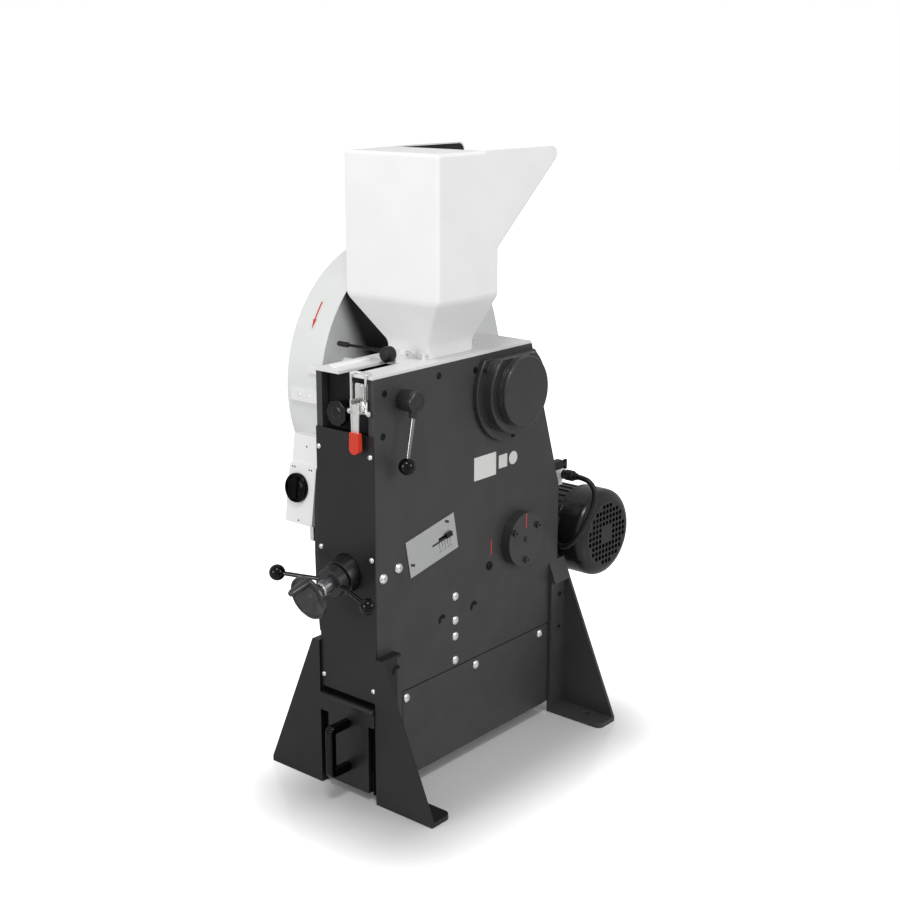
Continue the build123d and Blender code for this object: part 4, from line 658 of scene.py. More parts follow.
# %% Clamp lever and grip
lever = block("clamp_lever", (30, -296, 692), (50, -292, 746))
pick(lever, lambda v: v.co.z < 693 * MM, "VERT")
bpy.ops.transform.resize(value=(0.8, 1, 1))
pick(lever, lambda f: f.normal.y < -0.9)
bpy.ops.mesh.inset(thickness=2.2 * MM)
pull(0, 2.4, 0)
ease(lever, 0.7, 30, 2)
knuckle = block("clamp_knuckle", (33, -293, 727), (47, -280.5, 746))
pick(knuckle, lambda e: along(e, 0) and middle(e).y < -286, "EDGE")
round_off(3.5, 4)
ease(knuckle, 0.5, 35)
lever = dress(join("clamp_lever", lever, knuckle), zinc, "clamp_handle_body", "zinc", "clamp_handle")

grip = block("clamp_red_grip", (28.8, -299.3, 659), (51.2, -288.7, 697))
pick(grip, lambda v: v.co.z > 696 * MM, "VERT")
bpy.ops.transform.resize(value=(0.9, 0.84, 1))
pick(grip, lambda e: along(e, 1) and middle(e).z < 660, "EDGE")
round_off(10.8, 8)
pick(grip, lambda e: abs(e.verts[0].co.y - e.verts[1].co.y) < 1e-6 and middle(e).z < 696, "EDGE")
round_off(4.3, 5, clamp=True)
only(grip)
bpy.ops.object.shade_smooth_by_angle(angle=radians(50))
print("grip and lever:", len(grip.data.polygons), "and", len(lever.data.polygons), "faces")
dress(grip, red_vinyl, "clamp_handle_body", "red_plastic", "clamp_grip")

# %% [markdown]
# The clamp's foot is a wide stamped plate with pressed ribs, rivets and the pin on which the lever turns. The rivets
# are one domed head, copied; the ribs are low bars with rounded backs; the bail's ends are held by two small nuts.

# %% Clamp foot details
def copies(name, source, places):
    """Copies of a piece made at the origin facing +Z, one for each (place, direction), joined."""
    made = []
    for place, way in places:
        twin = placed(name, source.data.copy())
        twin.data.transform(Matrix.Translation(at(*place)) @ Vector(way).to_track_quat("Z", "Y").to_matrix().to_4x4())
        made.append(twin)
    return join(name, *made) if len(made) > 1 else settle(made[0], name)


def discard(piece):
    """Removes a pattern piece once its copies are made."""
    bpy.data.objects.remove(piece)


rivet = turned("rivet", [(0, 0), (0, 3.0), (0.5, 3.0), (1.2, 2.4), (1.7, 1.2), (1.8, 0)], (0, 0, 0), (0, 0, 1), 20)
only(rivet)
bpy.ops.object.shade_smooth()
FOOT_FACE = -267.6
PIN_Y, PIN_Z = -286.0, 744.0
rivets = copies("clamp_rivets", rivet, [((x, FOOT_FACE, z), (0, -1, 0)) for x in (32, 48) for z in (735.5, 772.5)]
                + [((54, PIN_Y, PIN_Z), (1, 0, 0)), ((26, PIN_Y, PIN_Z), (-1, 0, 0))])
ribs = []
for x in (35.5, 44.5):
    rib = block("rib", (x - 2.2, FOOT_FACE - 1.6, 738), (x + 2.2, FOOT_FACE, 770))
    pick(rib, lambda e: max(v.co.y for v in e.verts) < (FOOT_FACE - 1) * MM, "EDGE")
    round_off(1.4, 4)
    ribs.append(ease(rib, 0, 40))
plate = block("foot_plate", (15, FOOT_FACE, 726), (54.5, -266, 777))
pick(plate, lambda e: along(e, 1), "EDGE")
round_off(4, 4)
dress(join("clamp_rivets", rivets, ease(plate, 0.5, 40), *ribs), zinc, "frame", "zinc")
nut = turned("bail_nut", [(0, 0), (0, 4.6), (0.6, 5.2), (4.6, 5.2), (5.2, 4.6), (5.2, 2.6), (6.4, 2.2), (6.4, 0)],
             (0, 0, 0), (0, 0, 1), 6)
nuts = copies("bail_nuts", ease(nut, 0.3, 30, 1), [((59.4, -284, 731), (1, 0, 0)), ((20.6, -284, 731), (-1, 0, 0))])
dress(nuts, zinc, "clamp_bail_body", "zinc")
discard(nut)
print("clamp foot carries", len(ribs), "ribs; bail nuts", len(nuts.data.polygons), "faces")

# %% [markdown]
# ## Ball levers
# A ball lever is three things: a cast hub, a ground steel rod and a moulded ball. They are kept as separate pieces so
# that each has its own finish. A ball has a small flat where the rod enters it.

# %% Ball, rod and hub helpers
def knob_ball(name, centre, r, rod_way):
    """A moulded ball with a small flat where the rod goes in."""
    piece = ball(name, centre, r)
    way = Vector(rod_way).normalized()
    middle_point = at(*centre)
    pick(piece, lambda v: (v.co - middle_point).normalized().dot(way) > 0.955, "VERT")
    bpy.ops.mesh.bisect(plane_co=middle_point + way * r * 0.955 * MM, plane_no=way, clear_outer=True, use_fill=True)
    only(piece)
    bpy.ops.object.shade_smooth_by_angle(angle=radians(40))
    return piece


SPIN_TILT, SPIN_Z = radians(12), 431.5


def on_spindle(s, x=0.0, up=0.0):
    """Point at distance s in front of the cover along the spindle, x aside and up across it."""
    return (x, COVER_Y - s * cos(SPIN_TILT) - up * sin(SPIN_TILT), SPIN_Z - s * sin(SPIN_TILT) + up * cos(SPIN_TILT))


SPIN_WAY = Vector((0, -cos(SPIN_TILT), -sin(SPIN_TILT)))
print("spindle runs", [round(v, 3) for v in SPIN_WAY])

# %% Side lever
HUB_Y, HUB_Z, ROD_X = -205, 744, 98.9
SIDE_BALL = Vector((ROD_X, -228.5, 633.5))
hub = turned("side_lever_hub", [(0, 0), (0, 17.5), (1.5, 18.2), (20, 20), (32, 21), (35.2, 20.2), (36.8, 18), (37, 14),
                                (35.6, 12.5), (35.6, 0)], (SIDE_X + 0.3, HUB_Y, HUB_Z), (1, 0, 0))
rod_start = Vector((ROD_X, HUB_Y, HUB_Z))
rod_way = (SIDE_BALL - rod_start).normalized()
neck = turned("side_lever_neck", [(12, 0), (12, 10.5), (24, 8.2), (28, 7.2), (28.6, 6.4), (28.6, 0)], rod_start,
              rod_way, 32)
dress(join("side_lever_hub", ease(hub, 0, 30), ease(neck, 0, 30)), black_casting, "side_lever_body", "black_plastic",
      "side_lever")
side_rod = bar("side_lever_rod", rod_start + rod_way * 26, SIDE_BALL - rod_way * 10, 4.0, 3.2, 32)
dress(ease(side_rod, 0), lever_steel, "side_lever_body", "bright_steel")
dress(knob_ball("side_lever_ball", SIDE_BALL, 15, -rod_way), bakelite, "side_lever_body", "black_plastic")
print("side rod", round(side_rod.dimensions.length / MM), "mm over its box")

# %% [markdown]
# The lock lever is a collar round the spindle with two rods that lean forward, a ball on each.

# %% Lock lever
collar = turned("lock_collar", [(22.3, 0), (22.3, 26.6), (23.6, 28), (34, 28), (42.6, 28), (44.3, 26.6), (44.3, 14),
                                (43.6, 13.4), (43.6, 0)], on_spindle(0), SPIN_WAY, 64)
dress(ease(collar, 0, 25), black_casting, "lock_lever_body", "black_plastic", "lock_lever")
COLLAR_S, LEAN, ARM, DROOP = 33.3, 31.5, 110.85, 5.8      # collar's middle; how far a ball stands out, aside and down
HIDDEN = 0.2                                            # share of the arm inside the collar
rods, balls = [], []
for side in (-1, 1):
    hub_end = Vector(on_spindle(COLLAR_S + HIDDEN * LEAN, side * HIDDEN * ARM, -side * HIDDEN * DROOP))
    ball_end = Vector(on_spindle(COLLAR_S + LEAN, side * ARM, -side * DROOP))
    way = (ball_end - hub_end).normalized()
    rods.append(ease(bar("rod", hub_end, ball_end - way * 8, 4, 4, 32), 0))
    balls.append(knob_ball("ball", ball_end, 14.8, -way))
dress(join("lock_lever_rods", *rods), black_rod, "lock_lever_body", "bright_steel")
dress(join("lock_lever_balls", *balls), bakelite, "lock_lever_body", "black_plastic")
print("collar", len(collar.data.polygons), "faces")

# %% [markdown]
# ## Spindle head
# The spindle ends in a fluted steel sleeve, gripped by hand, and a shallow moulded handwheel with a stub handle. The
# flutes are cut by pushing every other face of a many-sided bar inwards, and the wheel is a turned profile.

# %% Fluted sleeve, handwheel and stub handle
FLUTES = 18
sleeve = bar("fluted_sleeve", on_spindle(44.7), on_spindle(70.6), 12.5, sides=2 * FLUTES)
centre_line = at(*on_spindle(0))
across = Vector((1, 0, 0))
upward = SPIN_WAY.cross(across).normalized()


def around(point):
    """Angle of a point round the spindle, in degrees from 0 to 360."""
    off = point - centre_line
    return degrees(atan2(off.dot(upward), off.dot(across))) % 360


pick(sleeve, lambda f: abs(f.normal.dot(SPIN_WAY)) < 0.1
     and int(around(f.calc_center_median()) * FLUTES / 180) % 2 == 0)
bpy.ops.mesh.extrude_region_shrink_fatten(TRANSFORM_OT_shrink_fatten={"value": -1.6 * MM})
dress(ease(sleeve, 0.25, 30, 1), turned_steel, "spindle_body", "bright_steel")

wheel = turned("dished_handwheel", [(69, 0), (69, 12), (69.8, 13), (79, 13), (83, 14.6), (88.5, 23), (93.4, 36),
                                    (94, 39.4), (95, 40.8), (97.6, 41.2), (100, 40.8), (100.8, 39.8), (100.9, 38.4),
                                    (100.1, 37.2), (97.4, 36), (91.6, 24), (86.4, 14), (84.6, 8), (84.2, 0)],
               on_spindle(0), SPIN_WAY, 72)
dress(ease(wheel, 0, 28), wheel_plastic, "spindle_body", "black_plastic", "handwheel")
print("wheel is", round(max(wheel.dimensions) / MM), "mm over all, sleeve has", FLUTES, "flutes")
stub = turned("stub_handle", [(101, 0), (101, 7.2), (101.7, 8), (112, 8), (126, 7.2), (138, 6.5), (139.4, 6.1),
                              (139.8, 5.2), (142.4, 5), (142.9, 4.4), (142.9, 2.8), (142.2, 2.4), (142.2, 0)],
              on_spindle(0, 7.65, 33.1), SPIN_WAY, 40)
dress(ease(stub, 0, 28), wheel_plastic, "crank_grip_body", "black_plastic", "crank_grip")

# %% [markdown]
# ## Front knob, top lever and switch
# The front knob is a moulded disc whose rim is pulled in at seven finger hollows. The top lever is a domed hub with a
# thin rod and a sleeve of soft plastic. The rotary switch has a broad round plate, a dished face and a low bar.

# %% Lobed front knob
KNOB_X, KNOB_Z, LOBES = -15, 721, 7
knob = turned("lobed_knob", [(0, 0), (0, 10.5), (4, 11), (5.4, 22.4), (7, 24), (13, 24), (15, 22.8), (15.8, 19.5),
                             (15.2, 14), (16.2, 11), (17, 9), (17, 0)], (KNOB_X, -269, KNOB_Z), (0, -1, 0), 84)
for k in range(LOBES):
    angle = 2 * pi * k / LOBES
    hollow = at(KNOB_X + 26.5 * cos(angle), 0, KNOB_Z + 26.5 * sin(angle))
    pick(knob, lambda v: hypot(v.co.x - hollow.x, v.co.z - hollow.z) < 6.2 * MM, "VERT")
    bpy.ops.transform.resize(value=(0.78, 1, 0.78), center_override=(hollow.x - 9 * MM * cos(angle), 0,
                                                                     hollow.z - 9 * MM * sin(angle)))
dress(ease(knob, 0, 30), black_abs, "front_knob_body", "black_plastic", "front_knob")
print("knob:", [round(v / MM, 1) for v in knob.dimensions], "mm")

# %% Top lever
top_hub = turned("top_lever_hub", [(0, 0), (0, 9), (1.2, 12.2), (4, 14.2), (16, 14.2), (18.2, 13.6), (19, 12.6),
                                   (19, 0)], (1, -178, 809.5), (0, 1, 0), 48)
grip_way = Vector((-1, 0, 0))
soft = turned("top_lever_sleeve", [(0, 0), (0, 3.4), (0.8, 4.6), (3, 5), (24, 4.8), (26, 4), (26.8, 2.4), (27, 0)],
              (-94, -168.5, 814.5), grip_way, 28)
dress(join("top_lever_hub", ease(top_hub, 0, 28), ease(soft, 0, 28)), matt_black, "top_lever_body", "matt_plastic",
      "top_lever")
thin = bar("top_lever_rod", (-9, -168.5, 814.5), (-95, -168.5, 814.5), 3, 2.6, 24)
dress(ease(thin, 0), dark_screw, "top_lever_body", "dark_steel")
print("top lever reaches from X", round(min(v.co.x for v in top_hub.data.vertices) / MM), "mm")

# %% Rotary switch
BOX_TILT, DIAL_X, DIAL_DROP, DIAL_OUT = radians(8), -190, 100, 6.3


def on_box(x, out, drop):
    """Point on the switch box: out in front of its plate, drop below its upper edge."""
    return (x, -194 - drop * sin(BOX_TILT) - out * cos(BOX_TILT), 636 - drop * cos(BOX_TILT) + out * sin(BOX_TILT))


BOX_WAY = Vector((0, -cos(BOX_TILT), sin(BOX_TILT)))
dial = turned("switch_dial", [(0, 0), (0, 28), (5, 28), (6.6, 27.4), (7.4, 26.2), (7, 24.8), (3.4, 22.6), (2.6, 18),
                              (3.4, 15), (4.2, 14), (4.4, 12.6), (4.4, 0)],
              on_box(DIAL_X, DIAL_OUT, DIAL_DROP), BOX_WAY, 64)
grip_bar = block("switch_bar", (DIAL_X - 5, -3.6, -20), (DIAL_X + 5, 0, 20))
pick(grip_bar, lambda f: f.normal.y < -0.9)
bpy.ops.transform.resize(value=(0.62, 1, 0.94))
pick(grip_bar, lambda e: along(e, 1), "EDGE")
round_off(3.5, 4)
rest()
base_point = Vector(on_box(DIAL_X, 9.2, DIAL_DROP))
grip_bar.data.transform(Matrix.Translation(at(0, base_point.y, base_point.z)) @ Matrix.Rotation(-BOX_TILT, 4, "X"))
dress(join("switch_dial", ease(dial, 0, 28), ease(grip_bar, 0.8, 35)), switch_black, "switch_body", "matt_plastic",
      "switch_knob")
print("dial stands", round(DIAL_OUT + 7.4), "mm off its plate")

# %% [markdown]
# ## Screws
# Sheet-metal screws are zinc-plated pan heads, the thick ones are flange bolts and the housings are held by blackened
# cap screws. Each kind is modelled once, with the recess for its key pressed into the head, and copied.

# %% Screw heads
def screw_head(name, r, height, sides=6):
    """A domed head with a hexagon recess, facing +Z."""
    dome = turned(name, [(0, 0), (0, r * 0.94), (height * 0.12, r), (height * 0.45, r * 0.97), (height * 0.8, r * 0.82),
                         (height, r * 0.56), (height, r * 0.46), (height * 0.35, r * 0.42), (height * 0.35, 0)],
                  (0, 0, 0), (0, 0, 1), 24)
    pick(dome, lambda v: hypot(v.co.x, v.co.y) < r * 0.5 * MM and v.co.z > height * 0.2 * MM, "VERT")
    bpy.ops.object.mode_set(mode="OBJECT")
    return ease(dome, 0, 30)


def hexagon(piece, r):
    """Draws the round recess of a head into a hexagon."""
    for vert in piece.data.vertices:
        away = hypot(vert.co.x, vert.co.y)
        if 0 < away < r * 0.5 * MM:
            turn = atan2(vert.co.y, vert.co.x) % (pi / 3) - pi / 6
            vert.co.x, vert.co.y = vert.co.x * 0.9 / cos(turn), vert.co.y * 0.9 / cos(turn)
    return piece


small = hexagon(screw_head("small_head", 5, 3), 5)
wide = hexagon(screw_head("wide_head", 8.6, 3.6), 8.6)
big = hexagon(screw_head("big_head", 9.6, 6), 9.6)
cap = hexagon(screw_head("cap_head", 4.5, 3), 4.5)
sides = [((SIDE_X, -62.7, z), (1, 0, 0)) for z in (340, 292, 260, 211.5)]
fronts = []
for side in (-1, 1):
    sides += [((side * SIDE_X, y, 182), (side, 0, 0)) for y in (-202, -1, 205)]
    fronts += [((side * 62, COVER_Y, z), (0, -1, 0)) for z in (654, 467.5, 220)]
bright = [copies("cover_screws", wide, sides), copies("front_screws", small, fronts),
          copies("flange_bolts", big, [((SIDE_X, y, z), (1, 0, 0)) for y, z in ((-261, 430), (-221, 439))])]
dress(join("bright_screws", *bright), bright_zinc, "frame", "zinc", "screws")
print("placed", len(sides), "side screws and", len(fronts), "front screws")
darks = []
for side in (-1, 1):
    darks += [((side * 77, y, z), (side, 0, 0)) for y, z in ((-254.8, 185), (260, 255), (260, 185))]
    darks += [((side * 79, AXLE_Y + 92 * cos(radians(a)), AXLE_Z + 92 * sin(radians(a))), (side, 0, 0))
              for a in (-85, 149)]
dark_heads = copies("foot_and_housing_screws", cap, darks)
FLUSH = [(-251, 762), (-256, 687), (-108, 770), (-6, 764)]
pin_end = turned("pin_end", [(0, 0), (0, 6.4), (0.5, 6.2), (0.7, 5.2), (0.7, 3.4), (0.3, 3), (0.3, 0)], (0, 0, 0),
                 (0, 0, 1), 28)
flat_heads = copies("flush_screws", ease(pin_end, 0, 30), [((SIDE_X, y, z), (1, 0, 0)) for y, z in FLUSH])
dress(join("dark_screws", dark_heads, flat_heads), dark_screw, "frame", "dark_steel")
print("placed", len(darks) + len(FLUSH), "dark screws")
for pattern in (small, wide, big, rivet, pin_end):
    discard(pattern)

# %% [markdown]
# ## Marks, plates and bosses on the right side
# Two blank rating plates and a round blank one are screen-printed aluminium films on the side plate. Red strokes mark
# where the zero adjuster's disc stands against the body. Bores that are closed by a flush plug show only the shaded
# half of their edge, so each is drawn as a crescent of painted shadow: a small profile spun through part of a turn.

# %% Plates and marks
def on_side(name, y0, y1, z0, z1, proud, material, slot, round_mm=0.0, x=SIDE_X, body="frame"):
    """A thin plate on the right side plate's face, with rounded corners."""
    piece = block(name, (x, y0, z0), (x + proud, y1, z1))
    if round_mm:
        pick(piece, lambda e: along(e, 0), "EDGE")
        round_off(round_mm, 4)
    return dress(ease(piece, min(0.15, proud / 3), 40, 1), material, body, slot)


on_side("rating_plate", -8, 57.5, 552, 597, 0.5, label_film, "white_paint", 1.5)
on_side("square_label", 66, 92, 561, 587, 0.3, label_film, "white_paint", 1.0)
disc = turned("round_label", [(0, 0), (0, 13), (0.3, 12.9), (0.3, 0)], (SIDE_X, 110.5, 574), (1, 0, 0), 48)
dress(ease(disc, 0), label_film, "frame", "white_paint")
on_side("side_mark", 43.6, 46.4, 393, 425, 0.3, red_paint, "red_plastic", 0.5)
on_side("disc_mark", 127.8, 130.8, 432, 461, 0.3, red_paint, "red_plastic", 0.5, 89.0, "zero_disc_body")
bore = turned("bore_edge", [(0, 3.0), (0.4, 3.6), (0.5, 7), (0.4, 10.4), (0, 10.8)], (0, 0, 0), (0, 0, 1), 36)
pick(bore, lambda f: f.calc_center_median().x * 0.5 - f.calc_center_median().y * 0.85 > 0.001)
bpy.ops.mesh.delete(type="FACE")                                # leaves the shaded part of the edge
# the crescents are painted shadow in near black; the rest of each bore's edge is left out
edges = copies("bore_edges", ease(bore, 0, 60), [((SIDE_X, y, 304), (1, 0, 0)) for y in (-7, -100)]
               + [((77, -237, 250), (1, 0, 0))])
dress(edges, recess_and_shadow_black, "frame", "dark_steel")
print("bore edges:", len(edges.data.polygons), "faces")

# %% [markdown]
# The plug under the side mark is a slotted screw. Two cuts across its face leave a narrow strip between them, and the
# strip is pushed in. A cap screw holds the adjuster's disc in its middle.

# %% Slotted plug and disc screw
PLUG_AT, SLOT_WAY = Vector((SIDE_X, 39.5, 373)), Vector((0, 0.86, -0.5))
slotted = turned("lock_plug", [(0, 0), (0, 8.4), (1.8, 8.4), (2.8, 7.4), (2.8, 0)], PLUG_AT, (1, 0, 0), 36)
for y in (38.4, 40.6):
    pick(slotted, lambda f: f.normal.x > 0.9)
    bpy.ops.mesh.bisect(plane_co=at(71, y, 373), plane_no=SLOT_WAY)
pick(slotted, lambda f: f.normal.x > 0.9 and abs((f.calc_center_median() / MM - PLUG_AT).dot(SLOT_WAY)) < 1.0)
pull(-1.2, 0, 0)
dress(ease(slotted, 0, 35), dark_screw, "frame", "dark_steel")
centre = copies("disc_centre_screw", cap, [((89, 130, 408), (1, 0, 0))])
dress(centre, chrome, "zero_disc_body", "bright_steel")
for pattern in (cap, bore):
    discard(pattern)
print("plug:", len(slotted.data.polygons), "faces")

# %% [markdown]
# ## Scale
# The pointer runs in a slot over a scale of five strokes with plain numbers, engraved and filled black. Each stroke is
# a sliver of film, and the numbers are Blender text, made a mesh before it is laid on the tilted plate.

# %% Scale strokes and numbers
SCALE_AT, SCALE_TILT, FIRST, STEP = (71, -129, 459), radians(11), 18, 7.5
scale_turn = Matrix(((0, 0, 1), (cos(SCALE_TILT), -sin(SCALE_TILT), 0),
                     (sin(SCALE_TILT), cos(SCALE_TILT), 0))).to_4x4()
marks = []
for k in range(5):
    u = FIRST + k * STEP
    stroke = block("stroke", (u - 0.55, -16, 0), (u + 0.55, -4, 0.12))
    marks.append(ease(stroke, 0.03, 40, 1))
    rest()
    bpy.ops.object.text_add(location=(u * MM, -24 * MM, 0))
    number = bpy.context.object
    number.data.body, number.data.size, number.data.extrude = str(k), 7.4 * MM, 0.08 * MM
    number.data.align_x = "CENTER"
    only(number)
    bpy.ops.object.convert(target="MESH")
    marks.append(settle(number, "number"))
strokes = join("scale_strokes", *marks)
strokes.data.transform(Matrix.Translation(at(*SCALE_AT)) @ scale_turn)
dress(strokes, matt_black, "frame", "matt_plastic")
print("scale has", len(strokes.data.polygons), "faces")

# %% [markdown]
# ## Motor
# A totally enclosed motor has a ribbed shell, round end shields and a fan cover with a punched grille. The ribs are
# every third face of a many-sided bar, pulled outwards. The cover's drum is turned anew, with a pressed groove and a
# shoulder rolled over to the punched disc.

# %% Ribbed shell
SHELL_SIDES = 96


def shell_face(face):
    """Number of the shell's long face, counted round its axis, or None on its ends."""
    off = face.calc_center_median() - at(0, MOTOR_Y, MOTOR_Z)
    if abs(face.normal.x) < 0.1:
        return round(degrees(atan2(off.z, off.y)) / (360 / SHELL_SIDES) - 0.5)


shell = bar("ribbed_shell", (-136, MOTOR_Y, MOTOR_Z), (26, MOTOR_Y, MOTOR_Z), 83, sides=SHELL_SIDES)
pick(shell, lambda f: shell_face(f) is not None and shell_face(f) % 3 == 0)
pull(0, 0, 0)
bpy.ops.transform.resize(value=(1, 1.03, 1.03), center_override=at(-55, MOTOR_Y, MOTOR_Z))
ease(shell, 0.6, 30, 1)
shields = [turned("shield", [(0, 0), (0, r), (2, r + 2), (8, 87.5), (14, 88), (17, 88), (17, 0)],
                  (x, MOTOR_Y, MOTOR_Z), way, 72)
           for x, way, r in ((-152, (1, 0, 0), 78), (40, (-1, 0, 0), 85))]
shell = join("ribbed_shell", shell, *[ease(piece, 0, 30) for piece in shields])
dress(shell, motor_coat, "frame", "body_paint", "motor_frame")
print("shell:", len(shell.data.polygons), "faces")

# %% Rolled fan cover
cover = merged_copy("fan_cover")
pick(cover, lambda f: f.calc_center_median().x < 98.4 * MM)     # keep the punched disc, renew the drum round it
bpy.ops.mesh.delete(type="FACE")
print("punched disc:", len(cover.data.polygons), "faces")
drum = turned("cover_drum", [(28, 91.2), (28.6, 92), (31.6, 92), (32.8, 90.9), (35, 90.6), (37.2, 90.9), (38.4, 92),
                             (77, 92), (83, 91.3), (88, 89.5), (92.5, 86.4), (96.2, 82), (99, 76.6), (100.6, 72.4),
                             (101, 70.9), (99, 70.9), (97.4, 76), (94.6, 80.8), (91.2, 84.8), (87, 87.7), (82.4, 89.4),
                             (77, 90), (40, 89.4), (28, 89.4), (28, 91.2)], (0, MOTOR_Y, MOTOR_Z), (1, 0, 0), 96)
cover = join("rolled_fan_cover", ease(cover, 0, 38), ease(drum, 0, 30))
dress(cover, motor_coat, "frame", "body_paint", "fan_cover")

# %% [markdown]
# ## Plug, switch box and brackets
# The plug is turned in steps, with a ribbed strain relief towards the cable. Small screws and a clip hold the switch
# box to its bracket, and slotted pan heads hold the bracket's straps on the guard.

# %% Plug
plug = turned("lead_plug", [(38, 0), (38, 8.6), (39, 9), (45, 9), (45.6, 10.4), (46.6, 11), (54, 11), (54.5, 10.5),
                            (55.5, 10.5), (56, 11), (63.6, 11), (65, 10), (65.8, 8.2), (67, 8.2), (67.3, 7.6),
                            (68.2, 7.6), (68.5, 8), (69.8, 7.8), (70.1, 7.2), (71, 7.2), (71.3, 7.6), (72.6, 7.2),
                            (73, 6.4), (73, 0)], (0, 320, 490), (1, 0, 0), 40)
dress(ease(plug, 0, 28), matt_black, "frame", "matt_plastic", "cable_plug")
print("plug:", [round(v / MM, 1) for v in plug.dimensions], "mm")

# %% Box and bracket fittings
tiny = turned("tiny_head", [(0, 0), (0, 1.7), (0.6, 1.5), (0.9, 1.0), (0.5, 0.7), (0.5, 0)], (0, 0, 0), (0, 0, 1), 16)
ease(tiny, 0, 30)
spots = [(-180, 0, 21), (-181, 6, 161)] + [(x, 6, 62) for x in (-207, -201, -163, -157)]
fittings = copies("box_screws", tiny, [(on_box(*spot), BOX_WAY) for spot in spots])
dress(fittings, dark_steel, "frame", "dark_steel")
strap_head = hexagon(screw_head("strap_head", 5.4, 2.6), 5.4)
strap_screws = copies("strap_screws", strap_head, [((x, -178.6, 707), (0, -1, 0)) for x in (-214, -190)]
                      + [((-170, -175.0, 759), (0, -1, 0))])
clip = block("box_clip", (-158, -216, 440), (-149, -206, 474))
pick(clip, lambda e: along(e, 0) and middle(e).z < 441, "EDGE")
round_off(4, 3)
dress(join("strap_screws", strap_screws, ease(clip, 0.6, 35)), zinc, "frame", "zinc")
print("box and straps carry", len(spots) + 3, "screws")
for pattern in (tiny, strap_head):
    discard(pattern)

# %% [markdown]
# ## Drawer handle
# The bow handle is glossy moulded bakelite. Its cross-section is not round but a rounded oblong, so the piece is swept
# from a flat profile: a block whose ends are extruded round the corners and then rounded all along.

# %% Bow handle
handle = block("bow_handle", (-8, -338, 64), (8, -322.5, 134))
pick(handle, lambda f: f.normal.z > 0.9)
pull(0, 0, 16)
pick(handle, lambda f: f.normal.z < -0.9)
pull(0, 0, -16)
pick(handle, lambda f: f.normal.y > 0.9 and abs(f.calc_center_median().z - 0.098) > 0.036)
pull(0, 37.2, 0)
pick(handle, lambda e: along(e, 0) and middle(e).y < -330 and (middle(e).z > 145 or middle(e).z < 50), "EDGE")
round_off(12, 6)
ease(handle, 3.6, 50, 4)
dress(handle, bakelite, "drawer_body", "black_plastic", "drawer_handle")
print("handle:", [round(v / MM) for v in handle.dimensions], "mm")

# %% [markdown]
# The drawer's upper lip is rolled forwards, so its top edge is a thick round bead with rounded ends. Three thin strips
# in flat black are painted shadow in the deep gaps above and beside the drawer. The real machine has no such strips.

# %% Rolled lip and gap strips
bead = bar("lip_bead", (-68, -286, 180), (68, -286, 180), 6.5, sides=32)
pick(bead, lambda f: abs(f.normal.x) > 0.9)
round_off(3.5, 4)
dress(ease(bead, 0, 40), front_shaded_coat, "drawer_body", "body_paint")
print("bead:", [round(v / MM) for v in bead.dimensions], "mm")
strips = [block("strip", (-66, -281.5, 187), (66, -281, 196))]
strips += [block("strip", (x, -278.5, 12), (x + 13.8, -278, 149)) for x in (55, -68.8)]
dress(join("primer_strips", *[ease(strip, 0.15, 40, 1) for strip in strips]), gap_shadow_black, "frame", "body_paint")

# %% [markdown]
# ## Stiffening bar on the top plate
# A folded bar is screwed on the left arm of the top plate. It is a block with its long upper edges rolled over.

# %% Stiffening bar
stiff = block("top_plate_bar", (-50, -262, 795), (-34, -176, 800))
pick(stiff, lambda e: along(e, 1) and middle(e).z > 799, "EDGE")
round_off(2, 3)
dress(ease(stiff, 0.4, 35), white_coat, "frame", "white_paint")
print("bar is", round(stiff.dimensions.y / MM), "mm long")

# %% [markdown]
# ## Cable
# The lead leaves the plug to the right, turns down under its own weight and comes back to the gland beside the motor.
# A smooth spline takes the same points as the engineering model's tube.

# %% Motor cable
CABLE_R = 5.5
ROUTE = [(73, 320, 490), (93.4, 320, 490), (110, 321, 480.5), (118.5, 321, 463), (117.5, 316.4, 438),
         (113.5, 305, 413), (106.5, 294, 389), (96.5, 287, 369.5), (84, 283, 355), (69, 282, 348.5), (52, 282, 350)]
curve = bpy.data.curves.new("motor_lead", "CURVE")
curve.dimensions = "3D"
curve.bevel_depth = CABLE_R * MM
curve.bevel_resolution = 6
curve.resolution_u = 12
line = curve.splines.new("NURBS")
line.points.add(len(ROUTE) - 1)
for point, place in zip(line.points, ROUTE):
    point.co = (*at(*place), 1)
line.order_u = 3
line.use_endpoint_u = True
lead = placed("motor_lead", curve)
dress(lead, rubber, "frame", "rubber", "motor_cable")
print("lead has", len(line.points), "points")

# %% [markdown]
# ## Floor, light and camera
# The studio is white all round. The floor keeps the lamps' shadows under the machine. Outside an oblong under it, what
# the camera sees of the floor glows more and more, up to full white, so that it runs into the background without a
# line; this glow is painted light that sets where the shadows fade out. A low front lamp lights the upright faces more
# than the flat ones; a side lamp lights the long side; a small lamp overhead leaves a sharp highlight near the top of
# each black ball.

# %% Floor
AMBIENT, NEAR_LIFT, LIFT_REACH = 0.55, 0.0, 0.33
OBLONG_MIDDLE, OBLONG_HALF = (0.0645, -0.045, 0), (0.0855, 0.257, 9)    # metres; so tall that height never counts
rest()
bpy.ops.mesh.primitive_plane_add(size=30, location=(0, 0, 0))
floor = settle(bpy.context.object, "studio_floor")
floor_finish, tree, shader = finish("polished_white_floor", Base_Color=linear("#d0d0d0"), Roughness=0.16)
rays = add(tree, "LightPath")
place = add(tree, "TexCoord").outputs["Object"]
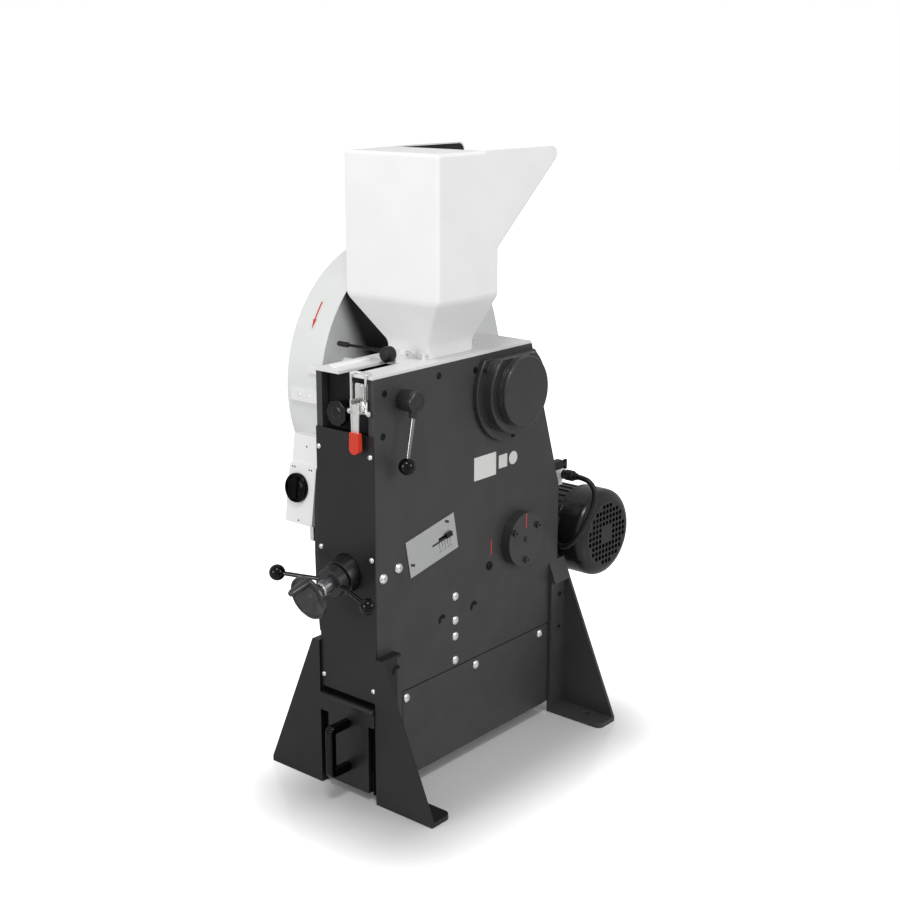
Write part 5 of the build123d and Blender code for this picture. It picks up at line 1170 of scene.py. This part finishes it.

# how far a point lies outside an oblong under the machine; the camera-only glow rises with this distance, a painted
# fade of the shadows
for work, value in (("SUBTRACT", OBLONG_MIDDLE), ("ABSOLUTE", None), ("SUBTRACT", OBLONG_HALF),
                    ("MAXIMUM", (0, 0, 0))):
    inputs = {0: place} if value is None else {0: place, 1: value}
    place = add(tree, "VectorMath", inputs, operation=work).outputs["Vector"]
away = add(tree, "VectorMath", {0: place}, operation="LENGTH")
rise = add(tree, "MapRange", {"Value": away.outputs["Value"], "From Min": 0.0, "From Max": LIFT_REACH,
                              "To Min": NEAR_LIFT, "To Max": 1.0}, interpolation_type="SMOOTHSTEP")
lift = add(tree, "Math", {0: rays.outputs["Is Camera Ray"], 1: rise.outputs["Result"]}, operation="MULTIPLY")
shader.inputs["Emission Color"].default_value = linear("#ffffff")
tree.links.new(lift.outputs[0], shader.inputs["Emission Strength"])
floor.data.materials.append(floor_finish)
print("floor lift rises from", NEAR_LIFT, "to 1 away from the machine")

# %% World and lamps
world = bpy.data.worlds.new("studio")
bpy.context.scene.world = world
world.use_nodes = True
sky = world.node_tree
sky.nodes.clear()
rays = add(sky, "LightPath")
soft = add(sky, "Background", {"Color": linear("#ffffff"), "Strength": AMBIENT})
shown = add(sky, "Background", {"Color": linear("#ffffff"), "Strength": 1.0})
mixed = add(sky, "MixShader", {0: rays.outputs["Is Camera Ray"], 1: soft.outputs[0], 2: shown.outputs[0]})
add(sky, "OutputWorld", {"Surface": mixed.outputs[0]})


def lamp(name, place, aim, size, watts):
    """A square soft lamp."""
    light = bpy.data.lights.new(name, "AREA")
    light.size, light.energy = size, watts
    holder = placed(name, light)
    holder.location = place
    holder.rotation_euler = (Vector(aim) - Vector(place)).to_track_quat("-Z", "Y").to_euler()
    print(name, watts, "W at", round((Vector(aim) - Vector(place)).length, 1), "m")


lamp("front_lamp", (-0.9, -3.6, 1.5), (0, 0, 0.7), 1.5, 44)
lamp("side_lamp", (3.2, 0.5, 1.9), (0, 0, 0.6), 1.5, 34)
lamp("top_lamp", (0.8, -1.3, 3.3), (0, 0, 0.6), 0.6, 30)

# %% Camera
CAMERA_AT, PITCH, TURN = (1720.3, -2033.7, 1311.4), 14.96, 40.17      # place in mm, angles in degrees
LENS, SENSOR = 58.28, 36
camera = bpy.data.cameras.new("camera")
camera.lens, camera.sensor_width = LENS, SENSOR
holder = placed("camera", camera)
holder.location = at(*CAMERA_AT)
holder.rotation_euler = (radians(90 - PITCH), 0, radians(TURN))
bpy.context.scene.camera = holder
bpy.context.scene.view_settings.view_transform = "Standard"
print("camera stands", round(holder.location.length, 2), "m from the origin, lens", round(camera.lens, 2), "mm")

# %% [markdown]
# ## The end
# The straight runs of the cable's route are added up.

# %% Measure the cable
lengths = sum((Vector(b) - Vector(a)).length for a, b in zip(ROUTE, ROUTE[1:]))
print("cable runs add up to", round(lengths), "mm")
